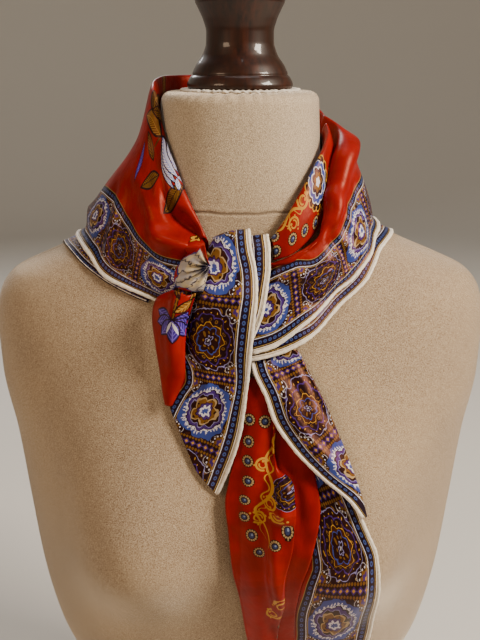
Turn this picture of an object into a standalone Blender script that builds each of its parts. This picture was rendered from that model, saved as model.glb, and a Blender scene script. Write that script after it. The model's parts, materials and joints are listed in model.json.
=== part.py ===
"""A silk square scarf tied round the neck of a limbless velvet dress form.

The form is a loft through a table of sections, and each stretch of the scarf is a thin wall through a
table of sections of its own. Tables are in millimetres and degrees. +Z is up, the wearer's front faces -Y,
and the origin is the middle of the form's flat base.
"""

import math

import bmesh
import bpy
import numpy as np

MM = 0.001

# Driving dimensions, in millimetres.
FORM_HEIGHT = 640.0
FORM_SQUARENESS = 2.25
NECK_EDGE_ROUND = 7.0
WALL = 1.2
CLEAR_OF_FORM = 1.7
SEAM_GAP_DEGREES = 0.6
FOLD_RADIUS = 1.4
FORM_SIDES = 56

# The form, a row for each section from the base up: height, half width, depth in front, depth behind.
FORM_SECTIONS = np.array([
    (0, 147, 100, 106),
    (50, 137, 96, 101),
    (105, 129, 92, 95),
    (140, 132, 92, 93),
    (166, 144, 94, 92),
    (205, 160, 98, 93),
    (260, 171, 101, 97),
    (320, 177, 103, 103),
    (380, 183, 101, 106),
    (430, 191, 96, 106),
    (470, 192, 86, 100),
    (492, 188, 78, 94),
    (506, 178, 71, 88),
    (516, 158, 66, 82),
    (527, 132, 62, 77),
    (540, 104, 60, 72),
    (552, 82, 59, 68),
    (566, 68, 58, 65),
    (590, 61, 57, 61),
    (620, 59, 57, 59),
    (640, 58, 56, 58),
], float)
# The bust: middle of each side, spread, and how far it stands out.
BUST_X, BUST_Z, BUST_OUT = 88.0, 312.0, 44.0
BUST_SPREAD_X, BUST_SPREAD_UP, BUST_SPREAD_DOWN = 62.0, 89.0, 56.0

# The turned cap's outline from the foot up: height over the neck, radius.
CAP_OUTLINE = np.array([
    (0.0, 36.0),
    (1.5, 38.2),
    (4.5, 39.0),
    (8.0, 37.8),
    (11.0, 36.0),
    (18.0, 32.5),
    (26.0, 27.2),
    (34.0, 24.8),
    (41.0, 24.6),
    (49.0, 26.6),
    (57.0, 30.2),
    (64.0, 33.6),
    (70.0, 35.0),
    (75.0, 34.6),
    (79.0, 31.5),
    (81.5, 26.0),
    (83.0, 18.0),
    (83.8, 9.0),
    (84.0, 0.0),
], float)

# The collar, from the knot round the left, the back and the right to the knot again. Angle is measured
# from the front toward -X. Each place is a radius and a height: the rolled top, two places down the
# drape, and the hem. The last two columns are the lifts of the hem and of the lower layer's hem.
COLLAR = np.array([
    # angle, top r, top z, upper r, upper z, lower r, lower z, hem r, hem z
    (20, 66, 543, 77, 533, 85, 516, 91, 498),
    (33, 65, 567, 79, 550, 89, 524, 96, 500),
    (41, 64, 582, 80, 562, 92, 530, 99, 503),
    (49, 64, 598, 80, 572, 94, 540, 105, 507),
    (59, 63, 613, 80, 585, 96, 552, 114, 513),
    (69, 63, 633, 78, 600, 99, 565, 119, 526),
    (82, 63, 643, 77, 606, 100, 573, 125, 533),
    (100, 63, 648, 78, 604, 106, 570, 134, 536),
    (118, 63, 650, 79, 606, 113, 566, 159, 523),
    (132, 63, 650, 79, 607, 112, 554, 149, 488),
    (150, 63, 650, 79, 606, 108, 545, 128, 440),
    (180, 63, 645, 79, 604, 106, 535, 113, 392),
    (210, 63, 638, 80, 603, 106, 543, 127, 446),
    (240, 63, 628, 82, 600, 104, 556, 122, 520),
    (258, 64, 622, 84, 598, 98, 564, 106, 534),
    (268, 72, 613, 85, 595, 98, 564, 104, 536),
    (278, 75, 603, 86, 590, 98, 563, 104, 536),
    (288, 77, 592, 88, 581, 99, 560, 104, 535),
    (298, 79, 574, 90, 565, 100, 547, 106, 525),
    (309, 81, 556, 91, 550, 100, 535, 105, 515),
    (317, 83, 546, 91, 540, 97, 525, 100, 506),
    (327, 84, 538, 90, 529, 95, 513, 98, 492),
    (334, 83, 533, 88, 522, 93, 506, 97, 484),
    (346, 77, 527, 83, 514, 90, 498, 96, 472),
    (355, 72, 523, 79, 511, 88, 493, 96, 468),
], float)
# Soft ridges and troughs pressed into the collar: middle angle, middle drape, spread in each, depth out.
COLLAR_FOLDS = np.array([
    (28, 0.50, 5, 0.16, -5.0),
    (37, 0.72, 6, 0.16, 2.5),
    (46, 0.36, 6, 0.20, 1.8),
    (62, 0.62, 7, 0.25, -2.0),
    (148, 0.70, 8, 0.30, 4.5),
    (163, 0.66, 6, 0.28, -3.0),
    (181, 0.80, 9, 0.34, 5.0),
    (200, 0.64, 7, 0.26, -3.0),
    (215, 0.72, 8, 0.30, 4.0),
    (306, 0.50, 6, 0.20, -2.0),
    (322, 0.62, 6, 0.20, 2.0),
], float)
COLLAR_STRETCHES = {
    # name: (first angle, last angle, sections along it)
    "collar_left": (20.0, 106.0, 20),
    "collar_back": (106.0, 256.0, 28),
    "collar_right": (256.0, 355.0, 24),
}
COLLAR_LIP = 12.0
COLLAR_HEM_LIFT = 3.8
KNOT_SIDE_ANGLES = (314.0, 336.0)
KNOT_SIDE_LIFT = 7.0

# The lower of the folded square's two layers, where its hem shows under the collar's: angle, radius and
# height of its hem, and how far up under the collar it is built.
UNDER_LAYER = np.array([
    (41, 100, 500, 26),
    (54, 111, 508, 28),
    (64, 121, 517, 30),
    (80, 132, 527, 32),
    (96, 145, 532, 34),
    (112, 161, 519, 34),
    (122, 160, 506, 32),
    (134, 149, 476, 30),
    (152, 128, 430, 30),
    (181, 114, 382, 30),
    (208, 127, 434, 30),
    (236, 128, 508, 32),
    (256, 126, 530, 34),
    (270, 119, 534, 30),
    (290, 112, 531, 28),
    (304, 110, 512, 26),
    (316, 103, 497, 24),
    (330, 98, 476, 22),
    (346, 94, 465, 18),
    (356, 93, 462, 16),
], float)
UNDER_STRETCHES = {
    "collar_left_under": (41.0, 118.0, 20),
    "collar_back_under": (118.0, 254.0, 26),
    "collar_right_under": (254.0, 356.0, 24),
}

# The inner fold that stands against the neck on the right: angle, height of its neck side, then the
# radius and height of its crest and of its outer edge.
NECK_ROLL = np.array([
    (273, 603, 64, 617, 67, 604),
    (285, 600, 67, 610, 72, 587),
    (298, 594, 68, 600, 74, 568),
    (310, 585, 69, 588, 77, 554),
    (323, 570, 71, 572, 79, 541),
    (333, 555, 72, 556, 79, 533),
    (342, 540, 71, 543, 75, 529),
], float)

# The strips that hang down the chest, a row for each height: the left and right edges, then the lift
# over the form at the left edge, the middle and the right edge.
KNOT_WRAP = np.array([
    (549.5, -19, 7, 12, 15, 13),
    (540, -23, 8, 19, 22, 20),
    (528, -23, 11, 22, 25, 23),
    (516, -24, 12, 23, 26, 23),
    (509, -27, 12, 23, 26, 22),
], float)
KNOT_WRAP_UNDER = np.array([
    (545, -3, 20, 7.6, 8.6, 7.6),
    (538, -7, 21, 14.5, 16.5, 15.5),
    (527, -10, 21, 17.5, 20.4, 18.6),
    (512, -10, 19, 17.5, 19.5, 17.6),
    (497, -6, 16, 16, 17, 16.4),
    (486, 0, 12, 15, 15.4, 15),
    (478, 4, 8, 14, 14, 14),
], float)
TAIL_SHORT_BAND = np.array([
    (508, -27, 12, 22, 25.5, 22),
    (491, -43, 10, 9, 19, 20),
    (472, -46, 8, 4.5, 13.5, 17),
    (452, -48, 6, 3.4, 10.5, 14.5),
    (440, -49.5, 4.5, 3.2, 9.2, 13.6),
    (432, -49, 3.5, 3.2, 8.5, 13),
    (416, -43, 1, 3.2, 7.5, 12.5),
    (401, -37, -3, 2.8, 6.5, 11.5),
    (385, -30, -8.5, 2.6, 4.5, 7),
    (375, -22, -12, 2.5, 3.2, 3.6),
    (368, -17, -15, 2.4, 2.5, 2.4),
], float)
TAIL_SHORT_ROLL = np.array([
    (512, -46, -30, 18, 27, 27),
    (505, -58, -32, 10, 25, 24.5),
    (491, -61.5, -36, 5, 20, 18.0),
    (472, -59, -38, 4, 15.5, 13.4),
    (458, -56.5, -38, 4.0, 12.5, 11.8),
    (449, -55, -41, 4.4, 11.0, 10.8),
    (440, -53.5, -45.5, 5.6, 9.2, 9.2),
    (434, -52, -48.5, 6.4, 7.8, 8.2),
], float)
TAIL_LONG_UNDER = np.array([
    (440, 10, 48, 1.8, 1.8, 1.8),
    (410, 4, 62, 2.0, 1.8, 1.6),
    (375, -3, 78, 2.4, 1.9, 1.8),
    (352, -5, 88, 2.6, 2.0, 3.0),
    (330, -3, 97, 2.8, 2.0, 4.5),
    (300, -3, 100, 2.9, 2.2, 5.5),
    (270, 2, 101, 2.8, 2.2, 5.5),
    (240, 7, 103, 2.4, 2.0, 4.5),
    (212, 13, 101, 2.0, 1.8, 3.0),
    (182, 24, 92, 1.8, 1.6, 1.8),
    (157, 40, 79, 1.6, 1.6, 1.6),
    (138, 58, 62, 1.6, 1.6, 1.6),
], float)
TAIL_LONG_MIDDLE = np.array([
    (428, 17, 46, 3.6, 4.0, 3.6),
    (410, 18, 50, 3.6, 4.6, 3.6),
    (389, 20, 52, 4.0, 6.0, 3.8),
    (365, 22, 56, 4.4, 7.2, 4.2),
    (331, 20, 50.5, 4.8, 7.2, 4.4),
    (300, 17, 43, 4.8, 6.4, 4.4),
    (270, 17, 41, 4.6, 5.8, 4.4),
    (240, 18, 42, 4.2, 5.4, 4.0),
    (212, 24, 45, 3.6, 4.4, 3.6),
    (190, 33, 50, 3.4, 3.8, 3.4),
    (165, 45, 54, 3.3, 3.5, 3.3),
    (152, 51, 55, 3.3, 3.3, 3.3),
], float)
TAIL_LONG_ROLL = np.array([
    (452, 5, 22, 4.6, 5.4, 4.8),
    (436, 4, 24, 6.6, 8.0, 8.0),
    (419, 3.5, 25, 7.8, 10.0, 9.0),
    (405, 0, 24, 8.0, 11.0, 9.6),
    (392, -3.5, 24, 8.0, 12.0, 10.4),
    (378, -6.5, 30, 8.0, 13.0, 11.4),
    (363, -9, 37, 8.0, 13.5, 11.6),
    (342, -7, 36, 8.4, 14.0, 11.8),
    (309, -4, 30, 8.6, 14.0, 11.6),
    (283, 1, 28, 8.6, 13.5, 11.0),
    (241, 7, 27, 8.2, 12.0, 10.2),
    (210, 14, 31, 7.4, 10.0, 9.0),
    (186, 24, 39, 7.0, 8.6, 8.0),
    (163, 37, 46, 7.1, 7.9, 7.7),
    (150, 45, 49, 7.1, 7.3, 7.2),
], float)
TAIL_LONG_FLAP = np.array([
    (474, 4, 34, 3.4, 4.6, 5.2),
    (466, 6, 41, 3.8, 5.2, 5.4),
    (456, 9, 47, 8.2, 9.0, 6.4),
    (441, 17, 55, 10.8, 12.0, 7.6),
    (425, 23, 63, 12.4, 13.0, 8.0),
    (408, 35, 70, 12.6, 12.6, 8.0),
    (388, 55, 78, 9.0, 10.0, 7.6),
    (371, 76, 84, 7.2, 7.8, 6.8),
    (360, 84, 87, 6.2, 6.4, 6.0),
], float)
GATHER_APEX = (-20.5, 529.0, 23.6)
GATHER_RIM = np.array([
    # x, z, lift of the rim of the gathered cloth, from its top round the left to its foot
    (-24, 542, 21),
    (-31, 538, 20),
    (-40, 531, 17.5),
    (-45, 522, 18.5),
    (-44, 515, 21),
    (-36, 513, 26.5),
    (-25, 513, 26.5),
], float)
GATHER_DOME = 5.0
GATHER_PLEATS = 4
GATHER_PLEAT_DEPTH = 1.1


def column(table, number, at):
    """Monotone cubic through one column of a table, read at places of its first column."""
    x, y = table[:, 0], table[:, number]
    step = np.diff(x)
    slope = np.diff(y) / step
    inner = np.zeros(len(y))
    inner[0], inner[-1] = slope[0], slope[-1]
    same = slope[:-1] * slope[1:] > 0
    weight_a = 2 * step[1:] + step[:-1]
    weight_b = step[1:] + 2 * step[:-1]
    before = np.where(same, slope[:-1], 1.0)
    after = np.where(same, slope[1:], 1.0)
    inner[1:-1] = np.where(same, (weight_a + weight_b) / (weight_a / before + weight_b / after), 0.0)
    at = np.clip(at, x[0], x[-1])
    cell = np.clip(np.searchsorted(x, at) - 1, 0, len(x) - 2)
    t = (at - x[cell]) / step[cell]
    return (
        (2 * t**3 - 3 * t**2 + 1) * y[cell]
        + (t**3 - 2 * t**2 + t) * step[cell] * inner[cell]
        + (3 * t**2 - 2 * t**3) * y[cell + 1]
        + (t**3 - t**2) * step[cell] * inner[cell + 1]
    )


def falling(table):
    """The table with its first column rising, as column() needs."""
    return table[np.argsort(table[:, 0])]


def form_depth(x, z, behind):
    """How deep the form is at its middle line, with the bust added in front."""
    half_width = column(FORM_SECTIONS, 1, z)
    spread_z = np.where(z > BUST_Z, BUST_SPREAD_UP, BUST_SPREAD_DOWN)
    bust = BUST_OUT * np.exp(-(((np.abs(x) - BUST_X) / BUST_SPREAD_X) ** 2) - ((z - BUST_Z) / spread_z) ** 2)
    across = np.clip(np.abs(x) / half_width, 0, 1)
    bust = bust * np.clip(1.6 * (1 - across**FORM_SQUARENESS), 0, 1)
    return half_width, np.where(behind, column(FORM_SECTIONS, 3, z), column(FORM_SECTIONS, 2, z) + bust)


def form_front(x, z):
    """How far in front of the middle plane the form's surface lies."""
    half_width, depth = form_depth(x, z, np.zeros(np.shape(x), bool))
    across = np.clip(np.abs(x) / half_width, 0, 0.999)
    return depth * (1 - across**FORM_SQUARENESS) ** (1 / FORM_SQUARENESS)


def form_level(points):
    """Zero on the form's surface, above zero outside it."""
    x, y, z = points[..., 0], points[..., 1], points[..., 2]
    half_width, depth = form_depth(x, z, y > 0)
    level = np.abs(x / half_width) ** FORM_SQUARENESS + np.abs(y / depth) ** FORM_SQUARENESS
    return level ** (1 / FORM_SQUARENESS) - 1


def distance_and_normal(points):
    """Distance from the form and the way out of it, by the level's slope."""
    small = 0.5
    slope = np.stack([
        (form_level(points + step) - form_level(points - step)) / (2 * small)
        for step in np.eye(3) * small
    ], -1)
    length = np.linalg.norm(slope, axis=-1)
    return form_level(points) / length, slope / length[..., None]


def clear_of_form(points, lift):
    """Moves out each point that lies closer to the form than its lift."""
    for _ in range(5):
        distance, normal = distance_and_normal(points)
        points = points + normal * np.maximum(lift - distance, 0)[..., None]
    return points


def settle_on_form(points, lift, share):
    """Moves points to their lift over the form, wholly where share is 1."""
    for _ in range(5):
        distance, normal = distance_and_normal(points)
        points = points + normal * ((lift - distance) * share)[..., None]
    return points


def around(angle, radius, height):
    """A place round the neck: angle from the front toward -X."""
    turn = np.radians(angle)
    return np.stack([-radius * np.sin(turn), -radius * np.cos(turn), height + 0 * turn], -1)


def through(stops, places, at):
    """Smooth curve through places that stand at stops from 0 to 1, read at each value of at."""
    count = len(stops)
    spread = [np.stack([np.asarray(stops, float), np.eye(count)[i]], -1) for i in range(count)]
    weights = np.stack([catmull(table, at) for table in spread], -1)
    return np.tensordot(weights, np.stack(places, 0), axes=(1, 0))


def catmull(table, at):
    """Cubic through a table's second column, with each slope taken from the two neighbours."""
    x, y = table[:, 0], table[:, 1]
    slope = np.gradient(y, x)
    cell = np.clip(np.searchsorted(x, at) - 1, 0, len(x) - 2)
    step = x[cell + 1] - x[cell]
    t = (at - x[cell]) / step
    return (
        (2 * t**3 - 3 * t**2 + 1) * y[cell]
        + (t**3 - 2 * t**2 + t) * step * slope[cell]
        + (3 * t**2 - 2 * t**3) * y[cell + 1]
        + (t**3 - t**2) * step * slope[cell + 1]
    )


def smoothstep(low, high, at):
    t = np.clip((at - low) / (high - low), 0, 1)
    return t * t * (3 - 2 * t)


def knot_side(angle):
    """Extra lift where the collar rides over the long tail beside the knot."""
    return KNOT_SIDE_LIFT * smoothstep(*KNOT_SIDE_ANGLES, angle)[:, None]


def collar_surface(angle, drape):
    """The collar at each angle, from its turned-in lip (drape 0) over the roll to its hem (drape 1)."""
    radius_and_height = [(column(COLLAR, 2 * i + 1, angle), column(COLLAR, 2 * i + 2, angle)) for i in range(4)]
    top_r, top_z = radius_and_height[0]
    stops = [0.0, 0.1, 0.4, 0.7, 1.0]
    places = [around(angle, top_r - 2.6, top_z - COLLAR_LIP)]
    places += [around(angle, r, z) for r, z in radius_and_height]
    points = through(stops, places, drape)
    push = np.zeros((len(drape), len(angle)))
    for middle, down, spread, spread_down, depth in COLLAR_FOLDS:
        push += depth * np.exp(-(((angle[None, :] - middle) / spread) ** 2) - ((drape[:, None] - down) / spread_down) ** 2)
    points = points + around(angle, 1.0, 0.0) * (push * smoothstep(0.1, 0.35, drape)[:, None])[..., None]
    low = smoothstep(0.35, 0.5, drape)[:, None]
    lift = CLEAR_OF_FORM + low * (COLLAR_HEM_LIFT - CLEAR_OF_FORM + knot_side(angle).T)
    points = clear_of_form(points, lift)
    front_share = 1 - smoothstep(118, 132, angle) * smoothstep(250, 236, angle)
    share = smoothstep(0.88, 1.0, drape)[:, None] * front_share
    return settle_on_form(points, lift, share)


def under_surface(angle, drape):
    """The lower layer, which lies on the form from under the collar (drape 0) to its own hem (drape 1)."""
    radius, height, depth = (column(UNDER_LAYER, i, angle) for i in (1, 2, 3))
    start = around(angle, radius - 0.8 * depth, height + 0.6 * depth)
    hem = around(angle, radius, height)
    points = start + (hem - start) * drape[:, None, None]
    return settle_on_form(points, CLEAR_OF_FORM + knot_side(angle).T, np.ones(points.shape[:2]))


def roll_surface(angle, across):
    """The inner fold, from its neck side (across 0) over its crest to its outer edge (across 1)."""
    neck_z = column(NECK_ROLL, 1, angle)
    crest_r, crest_z = column(NECK_ROLL, 2, angle), column(NECK_ROLL, 3, angle)
    edge_r, edge_z = column(NECK_ROLL, 4, angle), column(NECK_ROLL, 5, angle)
    places = [
        around(angle, crest_r - 3.5, neck_z - 6),
        around(angle, crest_r - 3.0, 0.5 * (neck_z + crest_z)),
        around(angle, crest_r, crest_z),
        around(angle, 0.45 * crest_r + 0.55 * edge_r + 1.2, 0.5 * (crest_z + edge_z) + 1),
        around(angle, edge_r, edge_z),
    ]
    points = through([0.0, 0.2, 0.42, 0.7, 1.0], places, across)
    return clear_of_form(points, CLEAR_OF_FORM)


def strip_places(table, height, across, turn_left, turn_right):
    """Distance across and lift of a strip, with a folded edge turned under where asked."""
    left, right = column(table, 1, height), column(table, 2, height)
    lift_left, lift_mid, lift_right = (column(table, i, height) for i in (3, 4, 5))
    width = right - left
    flat = np.clip(across, 0, 1)[:, None]
    x = left + width * flat
    lift = (
        lift_left * (1 - flat) * (1 - 2 * flat)
        + lift_mid * 4 * flat * (1 - flat)
        + lift_right * flat * (2 * flat - 1)
    )
    for turn, past, side in ((turn_left, -across, 1), (turn_right, across - 1, -1)):
        past = np.clip(past, 0, None)[:, None] * turn
        if turn:
            bend = np.minimum(past / FOLD_RADIUS, math.pi)
            run = np.clip(past - math.pi * FOLD_RADIUS, 0, None)
            x = x - side * FOLD_RADIUS * np.sin(bend) + side * np.minimum(run, 0.4 * width)
            lift = lift - FOLD_RADIUS * (1 - np.cos(bend))
    return x, lift


def strip_surface(table, height, across, turn_left=0.0, turn_right=0.0):
    """A strip on the chest, a column of points for each height. Folded edges run past 0 and 1."""
    table = falling(table)
    x, lift = strip_places(table, height, across, turn_left, turn_right)
    z = height + 0 * x
    small = 0.5
    slope_x = (form_front(x + small, z) - form_front(x - small, z)) / (2 * small)
    slope_z = (form_front(x, z + small) - form_front(x, z - small)) / (2 * small)
    steep = np.minimum(np.sqrt(1 + slope_x**2 + slope_z**2), 1.6)
    return np.stack([x, -(form_front(x, z) + lift * steep), z], -1)


def wrap_surface(table, height_rows, across, back_top, corner_drop):
    """The band over the knot: it comes up from the neck behind, turns over and falls in front."""
    front = strip_surface(table, height_rows, across)
    over = front[:, :1].copy()
    over[..., 1] += 0.55 * back_top
    over[..., 2] += 0.3
    behind = front[:, :1].copy()
    behind[..., 1] = over[..., 1] + 0.45 * back_top
    behind[..., 2] -= 7.0
    points = np.concatenate([behind, over, front], 1)
    rows = np.concatenate([[0.0, 0.0], np.linspace(0, 1, len(height_rows))])
    drop = corner_drop * ((1 - across[:, None]) ** 2.5 + 0.12 * across[:, None] ** 4) * (1 - smoothstep(0.1, 0.7, rows))
    points[..., 2] -= drop
    return clear_of_form(points, CLEAR_OF_FORM)


def gather_surface(round_rim, out):
    """The pleated cone of cloth that runs into the knot: out is 0 at its apex and 1 at its rim."""
    stops = np.linspace(0, 1, len(GATHER_RIM))
    rim = np.stack([catmull(np.stack([stops, GATHER_RIM[:, i]], -1), round_rim) for i in range(3)], -1)
    apex = np.array(GATHER_APEX)
    points = apex + (rim - apex) * out[:, None, None]
    x, z = points[..., 0], points[..., 1]
    pleat = GATHER_PLEAT_DEPTH * np.cos(2 * math.pi * GATHER_PLEATS * round_rim)[None, :] * out[:, None]
    lift = points[..., 2] + GATHER_DOME * np.sin(math.pi * np.clip(out, 0, 1))[:, None] + pleat
    return np.stack([x, -(form_front(x, z) + lift), z], -1)


def material(name, color, roughness, sheen=0.0):
    made = bpy.data.materials.new(name)
    made.use_nodes = True
    shader = made.node_tree.nodes["Principled BSDF"]
    shader.inputs["Base Color"].default_value = (*color, 1.0)
    shader.inputs["Roughness"].default_value = roughness
    shader.inputs["Sheen Weight"].default_value = sheen
    made.diffuse_color = (*color, 1.0)
    return made


def add_object(name, mesh, look, collection):
    made = bpy.data.objects.new(name, mesh)
    made.data.materials.append(look)
    mesh.shade_smooth()
    mesh.set_sharp_from_angle(angle=math.radians(50))
    collection.objects.link(made)
    return made


def add_cloth(name, points, look, collection):
    """An open surface through a grid of points, given its wall by Solidify. It faces away from the form."""
    rows, columns = points.shape[:2]
    build = bmesh.new()
    grid = [[build.verts.new(points[i, j] * MM) for j in range(columns)] for i in range(rows)]
    for i in range(rows - 1):
        for j in range(columns - 1):
            build.faces.new((grid[i][j], grid[i + 1][j], grid[i + 1][j + 1], grid[i][j + 1]))
    mesh = bpy.data.meshes.new(name)
    build.to_mesh(mesh)
    build.free()
    made = add_object(name, mesh, look, collection)
    wall = made.modifiers.new("wall", "SOLIDIFY")
    wall.thickness = WALL * MM
    wall.offset = 0.0
    return made


def add_form(look, collection):
    """The dress form: rings through its sections, a rounded neck edge and flat ends."""
    heights = np.concatenate([
        np.linspace(0, 130, 6)[:-1],
        np.linspace(130, 460, 15)[:-1],
        np.linspace(460, 570, 15)[:-1],
        np.linspace(570, FORM_HEIGHT - NECK_EDGE_ROUND, 4),
    ])
    insets = np.zeros(len(heights))
    for part in (0.35, 0.7, 1.0):
        lift = NECK_EDGE_ROUND * math.sin(part * math.pi / 2)
        heights = np.append(heights, FORM_HEIGHT - NECK_EDGE_ROUND + lift)
        insets = np.append(insets, NECK_EDGE_ROUND * (1 - math.cos(part * math.pi / 2)))
    turn = np.arange(FORM_SIDES) * 2 * math.pi / FORM_SIDES
    turn = turn - 0.35 * np.sin(4 * turn) / 4
    cosine, sine = np.cos(turn), np.sin(turn)
    build = bmesh.new()
    rings = []
    for height, inset in zip(heights, insets):
        power = 2 / FORM_SQUARENESS
        half_width = column(FORM_SECTIONS, 1, np.array([height]))[0]
        x = half_width * np.sign(cosine) * np.abs(cosine) ** power
        _, depth = form_depth(x, np.full(FORM_SIDES, height), sine > 0)
        y = depth * np.sign(sine) * np.abs(sine) ** power
        shrink = 1 - inset / half_width
        rings.append([build.verts.new((px * shrink * MM, py * shrink * MM, height * MM)) for px, py in zip(x, y)])
    for low, high in zip(rings, rings[1:]):
        for i in range(FORM_SIDES):
            j = (i + 1) % FORM_SIDES
            build.faces.new((low[i], low[j], high[j], high[i]))
    build.faces.new(rings[0][::-1])
    build.faces.new(rings[-1])
    mesh = bpy.data.meshes.new("form_torso")
    build.to_mesh(mesh)
    build.free()
    return add_object("form_torso", mesh, look, collection)


def add_cap(look, collection):
    """The turned cap: its outline carried round the neck's middle by a Screw."""
    seat = FORM_HEIGHT + 0.3
    outline = [(0.0, seat)] + [(r, seat + h) for h, r in CAP_OUTLINE]
    mesh = bpy.data.meshes.new("form_cap")
    build = bmesh.new()
    places = [build.verts.new((r * MM, 0.0, z * MM)) for r, z in reversed(outline)]
    for a, b in zip(places, places[1:]):
        build.edges.new((a, b))
    build.to_mesh(mesh)
    build.free()
    made = add_object("form_cap", mesh, look, collection)
    turned = made.modifiers.new("turned", "SCREW")
    turned.steps = turned.render_steps = 40
    turned.use_merge_vertices = True
    turned.merge_threshold = 0.00001
    return made


def spaced(first, last, count):
    return np.linspace(first, last, count)


def turned_across(count, turn_left, turn_right):
    """Places across a strip, running past 0 and 1 round each folded edge."""
    bend = np.array([0.3, 0.7, 1.0]) * math.pi * FOLD_RADIUS
    places = [spaced(0, 1, count)]
    if turn_left:
        places.insert(0, -np.append(bend, turn_left)[::-1] / turn_left)
    if turn_right:
        places.append(1 + np.append(bend, turn_right) / turn_right)
    return np.concatenate(places)


def add_strip(name, table, look, collection, rows, columns=7, turn_left=0.0, turn_right=0.0):
    heights = spaced(table[0, 0], table[-1, 0], rows)
    across = turned_across(columns, turn_left, turn_right)
    points = strip_surface(table, heights, across, turn_left, turn_right)
    return add_cloth(name, points, look, collection)


def main():
    for old in list(bpy.data.objects):
        bpy.data.objects.remove(old)
    collection = bpy.data.collections.new("scarf_on_dress_form")
    bpy.context.scene.collection.children.link(collection)
    velvet = material("beige velvet", (0.47, 0.34, 0.24), 0.8, 0.6)
    wood = material("dark varnished wood", (0.05, 0.012, 0.005), 0.25)
    red = material("red printed silk", (0.55, 0.02, 0.012), 0.35)
    border = material("border printed silk", (0.06, 0.05, 0.16), 0.4)
    add_form(velvet, collection)
    add_cap(wood, collection)
    for name, (first, last, sections) in COLLAR_STRETCHES.items():
        angles = spaced(first + SEAM_GAP_DEGREES / 2, last - SEAM_GAP_DEGREES / 2, sections)
        drape = np.concatenate([[0.0, 0.05, 0.1, 0.15], spaced(0.22, 1.0, 9)])
        add_cloth(name, collar_surface(angles, drape), red, collection)
    for name, (first, last, sections) in UNDER_STRETCHES.items():
        angles = spaced(first + SEAM_GAP_DEGREES / 2, last - SEAM_GAP_DEGREES / 2, sections)
        add_cloth(name, under_surface(angles, spaced(0, 1, 5)), border, collection)
    angles = spaced(NECK_ROLL[0, 0], NECK_ROLL[-1, 0], 16)
    add_cloth("collar_right_roll", roll_surface(angles, spaced(0, 1, 10)), red, collection)
    wraps = {"knot_wrap": (KNOT_WRAP, 11.0, 7.0), "knot_wrap_under": (KNOT_WRAP_UNDER, 4.0, 4.0)}
    for name, (table, back_top, corner_drop) in wraps.items():
        heights = spaced(table[0, 0], table[-1, 0], 10)
        points = wrap_surface(table, heights, spaced(0, 1, 7), back_top, corner_drop)
        add_cloth(name, points, border, collection)
    gather = gather_surface(spaced(0, 1, 13), spaced(0.12, 1, 6))
    add_cloth("knot_gather", gather, red, collection)
    add_strip("tail_short_band", TAIL_SHORT_BAND, border, collection, 20, 9)
    add_strip("tail_short_roll", TAIL_SHORT_ROLL, red, collection, 14, 8, turn_right=6.0)
    add_strip("tail_long_under", TAIL_LONG_UNDER, border, collection, 24, 10)
    add_strip("tail_long_middle", TAIL_LONG_MIDDLE, red, collection, 18, 5)
    add_strip("tail_long_roll", TAIL_LONG_ROLL, red, collection, 22, 6, turn_left=7.0, turn_right=6.0)
    add_strip("tail_long_flap", TAIL_LONG_FLAP, border, collection, 16, 7, turn_right=6.0)


main()
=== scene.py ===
# %% [markdown]
# # A silk square scarf, tied on a velvet dress form
#
# The real thing is a square of printed twill silk, folded on its diagonal, laid round the neck of a
# limbless dress form and tied in front. This notebook dresses the imported solids: each stretch of cloth is
# a surface worked out with numpy, and each finish is drawn with nodes. It starts by loading the frame.

import json
import math

import bpy
import numpy as np
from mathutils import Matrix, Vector

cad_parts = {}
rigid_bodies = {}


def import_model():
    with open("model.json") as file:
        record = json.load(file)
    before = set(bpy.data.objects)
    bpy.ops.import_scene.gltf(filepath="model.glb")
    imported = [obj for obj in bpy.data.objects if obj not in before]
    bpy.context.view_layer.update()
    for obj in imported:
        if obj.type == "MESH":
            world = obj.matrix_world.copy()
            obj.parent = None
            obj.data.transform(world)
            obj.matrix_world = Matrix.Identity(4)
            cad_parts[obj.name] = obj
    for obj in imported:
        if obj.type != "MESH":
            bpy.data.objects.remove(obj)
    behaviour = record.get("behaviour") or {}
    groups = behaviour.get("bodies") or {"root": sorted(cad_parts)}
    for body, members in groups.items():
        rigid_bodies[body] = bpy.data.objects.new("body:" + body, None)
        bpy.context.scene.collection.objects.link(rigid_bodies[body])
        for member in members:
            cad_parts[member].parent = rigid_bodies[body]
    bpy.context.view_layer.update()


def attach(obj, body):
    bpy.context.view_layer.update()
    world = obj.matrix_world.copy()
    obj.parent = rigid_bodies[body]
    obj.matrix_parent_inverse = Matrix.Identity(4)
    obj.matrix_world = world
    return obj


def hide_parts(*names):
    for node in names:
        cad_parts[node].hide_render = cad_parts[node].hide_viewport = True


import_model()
MM = 0.001

# %% [markdown]
# ## Reading tables
#
# Every form here follows a table of measured sections. They could be joined by straight lines, but cloth
# and a padded form have no corners, so a monotone cubic joins them: smooth, and never past its rows.

# %% Smooth curves through tables
def as_rows(*rows):
    """A table with these rows."""
    return np.array(rows, float)


def hermite(part, step, start, end, slope_start, slope_end):
    """The cubic between two values that leaves and meets them at the given slopes."""
    return (
        (2 * part**3 - 3 * part**2 + 1) * start
        + (part**3 - 2 * part**2 + part) * step * slope_start
        + (3 * part**2 - 2 * part**3) * end
        + (part**3 - part**2) * step * slope_end
    )


def cell_of(x, at):
    """The table's cell that each place falls in, the cell's length, and the share of it that is passed."""
    cell = np.clip(np.searchsorted(x, at) - 1, 0, len(x) - 2)
    step = x[cell + 1] - x[cell]
    return cell, step, (at - x[cell]) / step


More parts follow.
